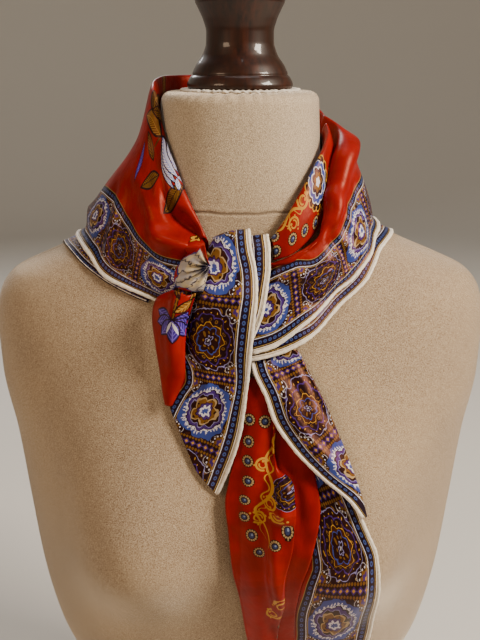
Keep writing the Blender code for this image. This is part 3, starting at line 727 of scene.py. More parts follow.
def printed_silk(name, sprays=(), leaves=(), bordered=True):
    """Printed silk twill: the ground, the placed motifs (motif, u, v, turn, scale) and leaves over it, the
    border last. Satin-like gloss, and the twill's fine diagonal, drawn at 0.9 mm so that it shows."""
    gloss = {"Roughness": 0.4, "IOR": 1.54, "Specular IOR Level": 0.3, "Specular Tint": "#FFA888"}
    made, tree, shader = new_material(name, gloss)
    cloth = add(tree, "UVMap", uv_map="cloth_mm")
    along, away = two_of(tree, cloth)
    colour = add(tree, "MixRGB", cloud(tree, cloth, 0.05, 2.0, 0.3, 0.7), RED, DEEP_RED)
    for row in leaves:
        colour = leaf(tree, colour, cloth, *row)
    for rows, *where in sprays:
        colour = motif(tree, colour, placed(tree, cloth, *where), rows)
    if bordered:
        colour = add(tree, "Group", colour, along, away, node_tree=border_print)
    waves = {"Vector": cloth, "Scale": 0.35, "Distortion": 0.4, "Detail": 1.0}
    twill = add(tree, "TexWave", waves, bands_direction="DIAGONAL")
    drift = add(tree, "TexNoise", {"Vector": cloth, "Scale": 0.11, "Detail": 2.0, "Roughness": 0.5})
    fine = add(tree, "Bump", {"Strength": 0.12, "Distance": 0.0001, "Height": twill})
    soft = add(tree, "Bump", {"Strength": 0.35, "Distance": 0.0012, "Height": drift, "Normal": fine})
    wear(shader, colour, soft)
    print(name, "has", len(tree.nodes), "nodes")
    return made


# Twill where only the border shows.
border_silk = printed_silk("silk twill, border print")
# Twill of the collar: the border, and the field's flowers and leaves.
collar_silk = printed_silk(
    "silk twill, border and flower sprays",
    [(BUD, 47, 92, 0, 1), (BUD, 398, 240, 0, 1)],
    [
        (164, 160, 40, 46, 8, DUSK), (186, 186, 20, 44, 8, AUTUMN), (212, 204, 60, 40, 7, DUSK),
        (246, 222, 10, 46, 8, AUTUMN), (128, 140, 110, 24, 1, STEM), (147, 143, 170, 46, 8.6, AUTUMN),
        (142, 156, 145, 32, 6, OLIVE), (144, 106, 246, 34, 4, VIOLET), (137, 127, 195, 28, 5.4, OLIVE),
        (115, 114, 114, 42, 6, OLIVE), (80, 134, 99, 52, 6.8, OLIVE),
        *petals(125, 148, (146, 184, 154, 174, 164), 48, 6, PALE),
        *petals(84, 158, (110, 235), 15, 3.4, PALE),
        *petals(252, 150, (60, 130, 84, 106), 30, 3.8, VIOLET),
        (250, 120, 88, 44, 1, STEM), (262, 118, 40, 30, 5, OLIVE), (236, 128, 150, 30, 5, DUSK),
        *petals(330, 136, (70, 110, 80, 100, 90), 44, 5.4, PALE),
        (330, 108, 90, 54, 1.1, STEM), (312, 112, 140, 38, 6.4, AUTUMN), (348, 104, 35, 40, 6.4, OLIVE),
        (300, 150, 110, 34, 5.4, DUSK), (366, 146, 60, 36, 5.6, AUTUMN),
        *petals(436, 172, (240, 310, 262, 286), 32, 4, VIOLET),
        (436, 196, 90, 44, 1, STEM), (452, 198, 40, 34, 5.6, OLIVE), (418, 206, 140, 34, 5.6, AUTUMN),
        (404, 150, 70, 30, 5, DUSK),
    ],
)
# The square's own edge, rolled and sewn by hand with cream thread: duller, since it has no flat face.
hem_silk, tree, shader = new_material(
    "silk, cream rolled hem", {"Roughness": 0.55, "Sheen Weight": 0.3, "Sheen Roughness": 0.4}
)
cloth = add(tree, "UVMap", uv_map="cloth_mm")
thread = add(tree, "TexNoise", {"Vector": cloth, "Scale": 0.5, "Detail": 2.0})
colour = add(tree, "MixRGB", ramp(tree, thread, 0.3, 0.55), "#CDBBA2", "#EFE4D3")
wear(shader, colour, add(tree, "Bump", {"Strength": 0.3, "Distance": 0.0005, "Height": thread}))
# Twill of the red ground alone.
field_silk = printed_silk("silk twill, plain field", bordered=False)
# Twill of the inner fold: a centre piece with scrolls and rosettes.
fold_silk = printed_silk(
    "silk twill, centre print on the inner fold",
    [
        (CENTRE_PIECE, 62, 27, 0, 0.98), (SCALLOP, 48, 8, 0, 1), (FOLD_VINE, 96, 25, -8, 1),
        (SCROLL, 84, 29, 200, 0.85), (SCROLL, 97, 19, 20, 0.75), (SCROLL, 108, 29, 250, 0.8),
        (ROSETTE, 114.6, 16.7, 0, 0.8), (ROSETTE, 114.6, 6, 0, 0.8), (ROSETTE, 100, 10, 0, 0.8),
        (ROSETTE, 86.6, 9, 0, 0.8), (ROSETTE, 73, 6, 0, 0.8), (BUD, 40, 16, 0, 0.8),
    ],
    bordered=False,
)
# Twill of the long tail's roll: the centre's row of rosettes turns round a vine and scrolls.
TAIL_ROSETTES = [
    (30, 3), (30, 14), (44.5, 5), (58, 8.5), (72.4, 12.2), (88, 12.3), (103.9, 12.2), (117.5, 16.2),
    (131, 21), (121, 34.5), (112.5, 43.6),
]
tail_silk = printed_silk(
    "silk twill, centre print on the long tail",
    [
        *[(ROSETTE, u, v, 0, 0.8) for u, v in TAIL_ROSETTES],
        (DARK_MEDALLION, 72, 41, 15, 0.62), (TAIL_VINE, 74, 25, 0, 1), (SCROLL, 39, 29, 10, 0.85),
        (SCROLL, 57, 19, 190, 0.75), (SCROLL, 84, 30, 30, 0.8), (SCROLL, 98, 38, 200, 1),
        (SCROLL, 104, 22, 20, 0.85),
        *[(ROSETTE, 206 + 13 * step, 30 - 2 * step, 0, 0.8) for step in range(3)],
        (SCROLL, 178, 32, 60, 0.8), (SCROLL, 190, 24, 240, 0.8),
    ],
    bordered=False,
)
# Twill of the short tail's roll: one violet flower on its stem.
roll_silk = printed_silk(
    "silk twill, spray on the short roll",
    leaves=[
        (72, 94, 14, 34, 1, STEM), (80, 101, 60, 18, 3.6, OLIVE), (74, 88, -34, 18, 3.4, AUTUMN),
        (92, 96, 20, 26, 5, OLIVE), (88, 84, -20, 22, 4.6, AUTUMN),
        *petals(62, 91.6, (108, 300, 136, 272, 168, 244, 206), 18, 4.6, VIOLET),
        *petals(61, 91.6, (184, 226), 12, 1.2, (VIOLET[1], WHITE, WHITE)),
    ],
)

# %% [markdown]
# The pleats beside the knot gather one large pale flower of the field. Its map counts 0 to 100 round the
# fan and 0 to 100 from the knot to the rim: dark lines at the pleats' pitch are painted shade of their folds,
# and the painted shade deepens toward the knot.

# %% The gathered petals
# Twill of the flower that the knot gathers.
petal_silk, tree, shader = new_material(
    "silk twill, pale petals gathered", {"Roughness": 0.36, "IOR": 1.54, "Specular Tint": "#FFE6D2"}
)
cloth = add(tree, "UVMap", uv_map="cloth_mm")
round_fan, from_knot = two_of(tree, cloth)
wander = add(tree, "TexNoise", {"Vector": cloth, "Scale": 0.06, "Detail": 2.0})
turned = steps(tree, wander, ("MULTIPLY_ADD", 26.0, round_fan))
# Painted shade: dark lines at the pleats' pitch stand for the shade in their folds.
painted_pleat_shade = steps(tree, turned, ("MULTIPLY", 0.2), ("SINE",), ("ABSOLUTE",))
colour = add(tree, "MixRGB", ramp(tree, wander, 0.42, 0.58), "#C9B68F", "#A9A19E")
colour = add(tree, "MixRGB", ramp(tree, painted_pleat_shade, 0.06, 0.42), "#141230", colour)
# Painted shade, deepening toward the knot where the pleats close.
colour = add(tree, "MixRGB", ramp(tree, from_knot, 22.0, 50.0), "#100E26", colour)
lobe = steps(tree, turned, ("MULTIPLY", 0.1), ("SINE",), ("ABSOLUTE",), ("MULTIPLY_ADD", 14.0, 88.0))
past = add(tree, "Math SUBTRACT", from_knot, lobe)
colour = over(tree, past, -4.0, colour, "#26307A")
colour = over(tree, past, 0.0, colour, RED)
colour = under(tree, round_fan, 9.0, colour, RED)
wear(shader, colour)
print("the petals have", len(tree.nodes), "nodes")

# %% [markdown]
# ## The torso
#
# The form's cover is cut in panels: there is a seam over each shoulder and down the side, one round the
# foot of the neck, and one down the back. The seams could be textures, but they catch the light from the
# side, so each is pressed into the surface as a narrow groove with slightly raised lips.


# %% The velvet form
RING_RUNS = [(582, 18), (548, 46), (480, 40), (3, 130)]  # down to a height, in so many rings
BASE_ROUND = 3
TOP_RINGS, CORNER_RINGS, BASE_RINGS = 16, 9, 12


def form_rows():
    """Heights and insets of the rings from the top's middle to the base's middle, for one closed skin."""
    corner = np.linspace(math.pi / 2, 0, CORNER_RINGS)
    shoulder = FORM_HEIGHT - NECK_EDGE_ROUND
    top_inset = np.linspace(57.5, NECK_EDGE_ROUND + 1, TOP_RINGS)
    top_inset = np.concatenate([top_inset, NECK_EDGE_ROUND * (1 - np.cos(corner))])
    top = np.concatenate([np.full(TOP_RINGS, FORM_HEIGHT), shoulder + NECK_EDGE_ROUND * np.sin(corner)])
    starts = [shoulder] + [low for low, _ in RING_RUNS]
    side = [np.linspace(high, low, count)[1:] for high, (low, count) in zip(starts, RING_RUNS)]
    foot = np.linspace(0, math.pi / 2, 5)[1:]
    low = BASE_ROUND * (1 - np.sin(foot))
    heights = np.concatenate([top, *side, low, np.zeros(BASE_RINGS)])
    base_inset = np.concatenate([BASE_ROUND * (1 - np.cos(foot)), np.linspace(8, 146.5, BASE_RINGS)])
    upright = np.zeros(len(heights) - len(top_inset) - len(base_inset))
    return heights, np.concatenate([top_inset, upright, base_inset])


def form_skin():
    """Rings of a superellipse: x is the half width times a signed power of the cosine, y the depth times
    that of the sine, each ring shrunk toward its middle by its inset."""
    heights, insets = form_rows()
    turn = np.linspace(0, math.tau, 193)[:-1]
    turn = turn - 0.35 * np.sin(4 * turn) / 4
    near = np.linspace(-0.05, 0.05, 15)
    turn = np.concatenate([turn] + [seam + near for seam in (0, math.pi / 2, math.pi)])
    turn = np.unique(np.round(turn % math.tau, 4))
    cosine, sine = np.cos(turn), np.sin(turn)
    power = 2 / FORM_SQUARENESS
    half_width = column(FORM_SECTIONS, 1, heights)[:, None]
    x = half_width * (np.sign(cosine) * np.abs(cosine) ** power)[None]
    z = heights[:, None] + 0 * x
    _, depth = form_depth(x, z, np.broadcast_to(sine > 0, x.shape))
    y = depth * (np.sign(sine) * np.abs(sine) ** power)[None]
    shrink = 1 - insets[:, None] / half_width
    return np.stack([x * shrink, y * shrink, z], -1), turn


def groove(distance, width, depth):
    """A narrow trough with small lips: minus a bell, plus a wider and lower one."""
    return -depth * np.exp(-(distance / width)**2) + 0.45 * depth * np.exp(-(distance / (2.6 * width))**2)


skin, turn = form_skin()
x, y, z = skin[..., 0], skin[..., 1], skin[..., 2]
neck_seam = 559.5 + 8 * smoothstep(-40, 60, y) + 0.5 * np.sin(9 * turn)[None] + 0.2 * np.sin(23 * turn)[None]
far = np.full(z.shape, 30.0)
from_neck_seam = z - neck_seam
from_side_seam = np.where((np.abs(x) > 30) & (z < 560) & (z > 2), y, far)
from_back_seam = np.where((y > 0) & (z < 560) & (z > 2), x, far)
relief = groove(from_neck_seam, 1.2, 1.0) + groove(from_side_seam, 1.5, 0.9)
relief += groove(from_back_seam, 1.5, 0.9)
nearest = np.minimum(np.abs(from_neck_seam), np.minimum(np.abs(from_side_seam), np.abs(from_back_seam)))
pleats = np.cos(44 * turn + 2.1 * np.sin(5 * turn))[None] * np.exp(-(((z - 640) / 4.5) ** 2))
relief += 0.55 * pleats * smoothstep(30, 40, np.hypot(x, y))
skin = pressed(skin, relief, around=True)
skin[..., 2] = np.maximum(skin[..., 2], 0)
seam_map = np.stack([nearest, 70 * turn[None] + 0 * nearest], -1)
torso = grid_object("velvet_torso", skin, velvet, seam_map, around=True, poles=("first", "last"))
print("the torso has", len(torso.data.polygons), "faces")

# %% [markdown]
# ## The cap
#
# A neck cap is turned on a lathe, so it is one outline carried round an axis. The outline here follows the
# solid's table, with the fine beads that a turner cuts at the foot and under the crown added to it.

# %% The turned cap
stops = np.linspace(0, 84, 150)
outline = column(CAP_OUTLINE, 1, stops)
outline = outline - 0.7 * np.exp(-(((stops - 11.5) / 0.8) ** 2)) - 0.6 * np.exp(-(((stops - 62) / 0.8) ** 2))
heights = FORM_HEIGHT + 0.3 + np.concatenate([stops[::-1], [0.0, 0.0]])
radii = np.concatenate([np.maximum(outline[::-1], 0.4), [24.0, 6.0]])
turn = np.linspace(0, math.tau, 129)[:-1]
skin = turned_round(radii, heights, turn)
cap = grid_object("turned_cap", skin, wood, around=True, poles=("first", "last"))
print("the cap has", len(cap.data.polygons), "faces")

# %% [markdown]
# ## Maps of the cloth
#
# A print is drawn on flat cloth, so each stretch needs to know where its points were before it was hung.
# Walking the grid and adding up the steps gives the distance from the hem, and the nearest place on the
# hem gives the distance along it.


# %% Cloth maps
SHELL = 0.5
CLEAR_OF_VELVET = 1.1
HEM_INWARD = 1.0


def run_length(points, axis):
    """Distance walked along one axis of a grid, from its start."""
    strides = np.linalg.norm(np.diff(points, axis=axis), axis=-1)
    zero = np.zeros_like(np.take(strides, [0], axis))
    return np.cumsum(np.concatenate([zero, strides], axis), axis)


def map_from_last_row(points, measure_row, offset):
    """u walks along one row of the grid, v walks back from the last row."""
    walked = run_length(points, 0)
    away = walked[-1:] - walked
    along = run_length(points, 1)[measure_row:measure_row + 1] + 0 * away + offset
    return np.stack([along, away], -1)


def map_from_edge(points, edge, offset):
    """For a strip whose hem is one of its sides: the strip is laid flat row by row, and each point takes
    its distance from the hem's line and the place along it."""
    across = run_length(points, 0)
    middle = points.shape[0] // 2
    down = run_length(points, 1)[middle][None, :] + 0 * across
    flat_x = points[..., 0]
    flat = np.stack([across - across[middle][None, :] + flat_x[middle][None, :], down], -1)
    line = flat[edge]
    start, step = line[:-1], np.diff(line, axis=0)
    length = np.linalg.norm(step, axis=-1)
    walked = np.concatenate([[0], np.cumsum(length)])
    apart = flat[:, :, None, :] - start
    part = np.clip((apart * step).sum(-1) / length**2, 0, 1)
    off = np.linalg.norm(apart - part[..., None] * step, axis=-1)
    near = off.argmin(-1)[..., None]
    away = np.take_along_axis(off, near, -1)[..., 0]
    along = np.take_along_axis(walked[:-1] + part * length, near, -1)[..., 0]
    return np.stack([along + offset, away], -1)


def slanted_map(points, x_0, z_0, slope, away_0):
    """For a stretch cut off by a slanted line z = z_0 + slope (x - x_0): v is away_0 plus the distance from
    that line and u the place along it, on the stretch laid flat row by row."""
    across = run_length(points, 0)
    middle = points.shape[0] // 2
    x = across - across[middle][None, :] + points[middle, :, 0][None, :] - x_0
    z = points[..., 2] - z_0
    size = math.hypot(1, slope)
    return np.stack([(x + slope * z) / size, away_0 + (z - slope * x) / size], -1)


def reprinted(cloth_map, pairs, shares=((0, 1), (200, 1), (400, 1))):
    """Moves the print along the hem: pairs of (walked, printed) places, joined smoothly, so that the
    medallions fall where the photograph has them. shares are (printed, factor) rows that scale the
    distance from the hem."""
    along = column(as_rows(*pairs), 1, cloth_map[..., 0])
    away = cloth_map[..., 1] * column(as_rows(*shares), 1, along)
    return np.stack([along, away], -1)


def rolled_hem(name, points, row, wide=1.25, thick=0.95, share=1.0):
    """A hand-rolled hem: an oval carried along the first or last row of the cloth, a little uneven from
    stitch to stitch, drawn in to a rounded end at both ends."""
    path, normal = points[row], outward(points)[row]
    along = np.gradient(path, axis=0)
    along = along / np.linalg.norm(along, axis=-1, keepdims=True)
    out = normal - along * (normal * along).sum(-1, keepdims=True)
    out = out / np.linalg.norm(out, axis=-1, keepdims=True)
    side = np.cross(along, out)
    walked = np.concatenate([[0], np.cumsum(np.linalg.norm(np.diff(path, axis=0), axis=-1))])
    uneven = 1 + 0.1 * np.sin(walked / 1.1) + 0.08 * np.sin(walked / 2.7 + 1) + 0.07 * np.sin(walked / 7.3)
    ends = np.minimum(walked, walked[-1] - walked)
    uneven = share * uneven * np.sqrt(np.clip(1 - (1 - np.clip(ends / 2.0, 0, 1)) ** 2, 0.05, 1))
    path = path - side * (HEM_INWARD if row else -HEM_INWARD)
    turn = np.linspace(0, math.tau, 13)[:-1]
    sideways = side[:, None] * (wide * np.cos(turn))[None, :, None]
    oval = sideways + out[:, None] * (thick * np.sin(turn))[None, :, None]
    tube = path[:, None] + oval * uneven[:, None, None]
    cloth_map = np.stack(np.broadcast_arrays(walked[:, None], 3 * turn[None]), -1)
    grid_object(name, tube, hem_silk, cloth_map, around=True, poles=("first", "last"))


# The sheets' last points, by name, for the cut of each.
laid = {}


def lay(name, points, cloth_map, look, folds=None, hem=None, row=-1, **hem_shape):
    """One stretch of silk: the grid, pressed by a height field, kept off the velvet and given its
    thickness, with a hem along one row where that row is the square's edge."""
    if folds is not None:
        points = pressed(points, folds)
    points = clear_of_form(points, CLEAR_OF_VELVET)
    wall = grid_object(name, points, look, cloth_map).modifiers.new("thickness of the silk", "SOLIDIFY")
    wall.thickness = SHELL * MM
    wall.offset = 0.0
    laid[name] = points
    if hem:
        rolled_hem(hem, points, row, **hem_shape)
    print(name, "runs over", round(float(np.ptp(cloth_map[..., 0]))), "mm of print")


print("cloth helpers are ready")

# %% [markdown]
# ## The collar
#
# From the knot the folded square climbs round the neck, rolls over at the top and flares down to its hem.
# It is one piece of cloth, so here it is one surface: sections at angles round the neck, read from the
# solid's table, with the folds that the photograph shows pressed in.

# %% The collar's sections
# The collar, from the knot round the left, the back and the right to the knot again. Angle is measured
# from the front toward -X. After it come a radius and a height each for the rolled top, for two places
# down the drape and for the hem.
COLLAR = as_rows(
    (20, 66, 543, 77, 533, 85, 516, 91, 498), (33, 65, 567, 79, 550, 89, 524, 96, 500),
    (41, 64, 582, 80, 562, 92, 530, 99, 503), (49, 64, 598, 80, 572, 94, 540, 105, 507),
    (59, 63, 613, 80, 585, 96, 552, 114, 513), (69, 63, 633, 78, 600, 99, 565, 119, 526),
    (82, 63, 643, 77, 606, 100, 573, 125, 533), (100, 63, 648, 78, 604, 106, 570, 134, 536),
    (118, 63, 650, 79, 606, 113, 566, 159, 523), (132, 63, 650, 79, 607, 112, 554, 149, 488),
    (150, 63, 650, 79, 606, 108, 545, 128, 440), (180, 63, 645, 79, 604, 106, 535, 113, 392),
    (210, 63, 638, 80, 603, 106, 543, 127, 446), (240, 63, 628, 82, 600, 104, 556, 122, 520),
    (258, 64, 622, 84, 598, 98, 564, 106, 534), (268, 72, 613, 85, 595, 98, 564, 104, 536),
    (278, 75, 603, 86, 590, 98, 563, 104, 536), (288, 77, 592, 88, 581, 99, 560, 104, 535),
    (298, 79, 574, 90, 565, 100, 547, 106, 525), (309, 81, 556, 91, 550, 100, 535, 105, 515),
    (317, 83, 546, 91, 540, 97, 525, 100, 506), (327, 84, 538, 90, 529, 95, 513, 98, 492),
    (334, 83, 533, 88, 522, 93, 506, 97, 484), (346, 77, 527, 83, 514, 90, 498, 96, 472),
    (355, 72, 523, 79, 511, 88, 493, 96, 468),
)
# Soft ridges and troughs pressed into the collar: middle angle, middle drape, spread in each, depth out.
COLLAR_FOLDS = as_rows(
    (28, 0.5, 5, 0.16, -5), (37, 0.72, 6, 0.16, 2.5), (46, 0.36, 6, 0.2, 1.8), (62, 0.62, 7, 0.25, -2),
    (148, 0.7, 8, 0.3, 4.5), (163, 0.66, 6, 0.28, -3), (181, 0.8, 9, 0.34, 5), (200, 0.64, 7, 0.26, -3),
    (215, 0.72, 8, 0.3, 4), (306, 0.5, 6, 0.2, -2), (322, 0.62, 6, 0.2, 2),
)
COLLAR_ANGLES = (20, 355)
COLLAR_STEP = 0.9
COLLAR_LIP = 12.0
COLLAR_HEM_LIFT = 3.8
KNOT_SIDE_ANGLES = (314.0, 336.0)
KNOT_SIDE_LIFT = 7.0


def knot_side(angle):
    """Extra lift where the collar rides over the long tail beside the knot."""
    return KNOT_SIDE_LIFT * smoothstep(*KNOT_SIDE_ANGLES, angle)[:, None]


def collar_surface(angle, drape):
    """The collar at each angle, from its turned-in lip (drape 0) over the roll to its hem (drape 1)."""
    radius_and_height = [
        (column(COLLAR, 2 * i + 1, angle), column(COLLAR, 2 * i + 2, angle)) for i in range(4)
    ]
    top_r, top_z = radius_and_height[0]
    stops = [0.0, 0.1, 0.4, 0.7, 1.0]
    places = [around(angle, top_r - 2.6, top_z - COLLAR_LIP)]
    places += [around(angle, r, z) for r, z in radius_and_height]
    points = through(stops, places, drape)
    push = np.zeros((len(drape), len(angle)))
    for middle, down, spread, spread_down, depth in COLLAR_FOLDS:
        off, below = (angle[None, :] - middle) / spread, (drape[:, None] - down) / spread_down
        push += depth * np.exp(-(off**2) - below**2)
    points = points + around(angle, 1.0, 0.0) * (push * smoothstep(0.1, 0.35, drape)[:, None])[..., None]
    low = smoothstep(0.35, 0.5, drape)[:, None]
    lift = CLEAR_OF_FORM + low * (COLLAR_HEM_LIFT - CLEAR_OF_FORM + knot_side(angle).T)
    points = clear_of_form(points, lift)
    front_share = 1 - smoothstep(118, 132, angle) * smoothstep(250, 236, angle)
    share = smoothstep(0.88, 1.0, drape)[:, None] * front_share
    return settle_on_form(points, lift, share)


def fine_rows(first, last, pitch):
    """Evenly spaced places, about pitch apart."""
    return np.linspace(first, last, int(round(abs(last - first) / pitch)) + 1)


angle = fine_rows(*COLLAR_ANGLES, COLLAR_STEP)
drape = np.concatenate([np.linspace(0, 0.2, 12)[:-1], np.linspace(0.2, 1, 54)])
points = collar_surface(angle, drape)
walk = map_from_last_row(points, 44, 0.0)
# Creases: from (along, away) to (along, away), width, height, all in mm on the cloth as it is walked.
BACK_CREASES = [
    (300, 30, 330, 120, 9, 3), (352, 30, 345, 130, 8, -3.2), (390, 24, 366, 120, 10, 2.8),
    (250, 30, 282, 100, 9, -2.8), (430, 20, 410, 90, 9, -2.6), (470, 60, 452, 120, 9, 2.2),
    (210, 24, 232, 80, 9, 2.4), (186, 30, 196, 100, 7, -2), (160, 70, 172, 120, 9, 2),
]
# The same for the front, in mm on the cloth as it is printed.
FRONT_CREASES = [
    (14, 80, 92, 78, 12.5, -11), (8, 69, 90, 128, 8.5, 9), (58, 52, 96, 44, 8, 1.8),
    (88, 100, 150, 92, 10, -2.4), (92, 142, 140, 126, 10, 2), (150, 14, 164, 66, 6, 2.6),
    (138, 10, 147, 60, 5, -2.4), (600, 99, 706, 78, 12, -9), (780, 62, 712, 88, 6, 3.8),
    (758, 50, 712, 36, 6, -4.6), (708, 74, 694, 14, 5.5, 3.8), (684, 66, 672, 12, 5.5, -3.4),
    (660, 66, 648, 14, 7, 1.8),
]
# How much smaller the print looks than the cloth as walked, along and away from the hem, round the neck.
COLLAR_PRINT = as_rows(
    (20, 1.25, 1.7), (30, 1.25, 1.75), (39, 1.25, 1.8), (48, 1.25, 1.63), (58, 1.25, 1.34),
    (69, 1.25, 1.28), (106, 1.25, 1.35), (180, 1.15, 1.2), (256, 1.1, 1.4), (288, 1.05, 1.45),
    (299, 1.05, 1.4), (307, 1.05, 1.62), (314, 1.05, 1.71), (323, 1.05, 1.68), (334, 1.08, 1.3),
    (345, 1.1, 1.16), (356, 1.1, 1.15),
)


def print_map(walk, angle, offset):
    """The walked map with each step scaled by the table's factors at that angle."""
    strides = np.diff(walk[-1, :, 0], prepend=walk[-1, 0, 0]) * column(COLLAR_PRINT, 1, angle)
    along = offset + np.cumsum(strides)[None, :] + 0 * walk[..., 1]
    return np.stack([along, walk[..., 1] * column(COLLAR_PRINT, 2, angle)[None, :]], -1)


collar_map = print_map(walk, angle, 37.5)
folds = creases(walk, BACK_CREASES) + creases(collar_map, FRONT_CREASES)
lay("scarf_collar", points, collar_map, collar_silk, folds, "scarf_collar_hem")

# %% [markdown]
# ## The lower layer
#
# The square is folded on its diagonal, so there are two layers, and the lower one's hem shows below the
# upper one's. It rests on the velvet.

# %% The lower layer
# The lower of the folded square's two layers, where its hem shows under the collar's: angle, radius and
# height of its hem, and how far up under the collar it is built.
UNDER_LAYER = as_rows(
    (41, 100, 500, 26), (54, 111, 508, 28), (64, 121, 517, 30), (80, 132, 527, 32), (96, 145, 532, 34),
    (112, 161, 519, 34), (122, 160, 506, 32), (134, 149, 476, 30), (152, 128, 430, 30), (181, 114, 382, 30),
    (208, 127, 434, 30), (236, 128, 508, 32), (256, 126, 530, 34), (270, 119, 534, 30), (290, 112, 531, 28),
    (304, 110, 512, 26), (316, 103, 497, 24), (330, 98, 476, 22), (346, 94, 465, 18), (356, 93, 462, 16),
)


def under_surface(angle, drape):
    """The lower layer, which lies on the form from under the collar (drape 0) to its own hem (drape 1)."""
    radius, height, depth = (column(UNDER_LAYER, i, angle) for i in (1, 2, 3))
    start = around(angle, radius - 0.8 * depth, height + 0.6 * depth)
    hem = around(angle, radius, height)
    points = start + (hem - start) * drape[:, None, None]
    return settle_on_form(points, CLEAR_OF_FORM + knot_side(angle).T, np.ones(points.shape[:2]))


UNDER_CREASES = [
    (60, 4, 70, 30, 6, 1.2), (100, 4, 104, 34, 7, 1.6), (150, 4, 150, 34, 7, 1.8),
    (230, 4, 236, 34, 9, 2), (320, 4, 318, 34, 9, 2.2), (410, 4, 412, 34, 9, 2),
    (500, 4, 494, 34, 8, 1.8), (600, 4, 596, 34, 8, 1.6), (680, 4, 674, 34, 6, 1.4),
]
angle = fine_rows(UNDER_LAYER[0, 0], UNDER_LAYER[-1, 0], COLLAR_STEP)
points = under_surface(angle, np.linspace(0, 1, 22))
under_map = print_map(map_from_last_row(points, 15, 0.0), angle, 18.0)
# In front on the left this hem is turned under, so the print runs to the edge there.
open_hem = smoothstep(92, 122, angle)
under_map[..., 1] += 6 * (1 - open_hem)
under_folds = creases(under_map, UNDER_CREASES)
open_share = 0.35 + 0.65 * open_hem
lay(
    "scarf_collar_under", points, under_map, border_silk, under_folds, "scarf_collar_under_hem",
    share=open_share,
)

# %% [markdown]
# ## The inner fold
#
# On the right the cloth doubles back against the neck before it rolls over. It shows the field's print.

# %% The inner fold
# The inner fold that stands against the neck on the right: angle, height of its neck side, then the
# radius and height of its crest and of its outer edge.
NECK_ROLL = as_rows(
    (273, 603, 64, 617, 67, 604), (285, 600, 67, 610, 72, 587), (298, 594, 68, 600, 74, 568),
    (310, 585, 69, 588, 77, 554), (323, 570, 71, 572, 79, 541), (333, 555, 72, 556, 79, 533),
    (342, 540, 71, 543, 75, 529),
)


def roll_surface(angle, across):
    """The inner fold, from its neck side (across 0) over its crest to its outer edge (across 1)."""
    neck_z = column(NECK_ROLL, 1, angle)
    crest_r, crest_z = column(NECK_ROLL, 2, angle), column(NECK_ROLL, 3, angle)
    edge_r, edge_z = column(NECK_ROLL, 4, angle), column(NECK_ROLL, 5, angle)
    places = [
        around(angle, crest_r - 3.5, neck_z - 6),
        around(angle, crest_r - 3.0, 0.5 * (neck_z + crest_z)),
        around(angle, crest_r, crest_z),
        around(angle, 0.45 * crest_r + 0.55 * edge_r + 1.2, 0.5 * (crest_z + edge_z) + 1),
        around(angle, edge_r, edge_z),
    ]
    points = through([0.0, 0.2, 0.42, 0.7, 1.0], places, across)
    return clear_of_form(points, CLEAR_OF_FORM)


angle = fine_rows(NECK_ROLL[0, 0], NECK_ROLL[-1, 0], COLLAR_STEP)
points = roll_surface(angle, np.linspace(0, 1, 44))
lay("scarf_neck_fold", points, map_from_last_row(points, 30, 0.0), fold_silk)

# %% [markdown]
# ## Strips on the chest
#
# The tails hang from the knot and lie on the chest. A strip is a table of heights: its two edges, and how
# far it stands over the form at the left, in the middle and at the right. A folded edge turns under.

# %% Strips
# The strips that hang down the chest, a row for each height: the left and right edges, then the lift
# over the form at the left edge, the middle and the right edge.
KNOT_WRAP = as_rows(
    (549.5, -19, 7, 12, 15, 13), (540, -23, 8, 19, 22, 20), (528, -23, 11, 22, 25, 23),
    (516, -24, 12, 23, 26, 23), (509, -27, 12, 23, 26, 22),
)
KNOT_WRAP_UNDER = as_rows(
    (545, -3, 20, 7.6, 8.6, 7.6), (538, -7, 21, 14.5, 16.5, 15.5), (527, -10, 21, 17.5, 20.4, 18.6),
    (512, -10, 19, 17.5, 19.5, 17.6), (497, -6, 16, 16, 17, 16.4), (486, 0, 12, 15, 15.4, 15),
    (478, 4, 8, 14, 14, 14),
)
TAIL_SHORT_BAND = as_rows(
    (508, -27, 12, 22, 25.5, 22), (491, -43, 10, 9, 19, 20), (472, -46, 8, 4.5, 13.5, 17),
    (452, -48, 6, 3.4, 10.5, 14.5), (440, -49.5, 4.5, 3.2, 9.2, 13.6), (432, -49, 3.5, 3.2, 8.5, 13),
    (416, -43, 1, 3.2, 7.5, 12.5), (401, -37, -3, 2.8, 6.5, 11.5), (385, -30, -8.5, 2.6, 4.5, 7),
    (375, -22, -12, 2.5, 3.2, 3.6), (368, -17, -15, 2.4, 2.5, 2.4),
)
TAIL_SHORT_ROLL = as_rows(
    (512, -46, -30, 18, 27, 27), (505, -58, -32, 10, 25, 24.5), (491, -61.5, -36, 5, 20, 18),
    (472, -59, -38, 4, 15.5, 13.4), (458, -56.5, -38, 4, 12.5, 11.8), (449, -55, -41, 4.4, 11, 10.8),
    (440, -53.5, -45.5, 5.6, 9.2, 9.2), (434, -52, -48.5, 6.4, 7.8, 8.2),
)
TAIL_LONG_UNDER = as_rows(
    (440, 10, 48, 1.8, 1.8, 1.8), (410, 4, 62, 2, 1.8, 1.6), (375, -3, 78, 2.4, 1.9, 1.8),
    (352, -5, 88, 2.6, 2, 3), (330, -3, 97, 2.8, 2, 4.5), (300, -3, 100, 2.9, 2.2, 5.5),
    (270, 2, 101, 2.8, 2.2, 5.5), (240, 7, 103, 2.4, 2, 4.5), (212, 13, 101, 2, 1.8, 3),
    (182, 24, 92, 1.8, 1.6, 1.8), (157, 40, 79, 1.6, 1.6, 1.6), (138, 58, 62, 1.6, 1.6, 1.6),
)
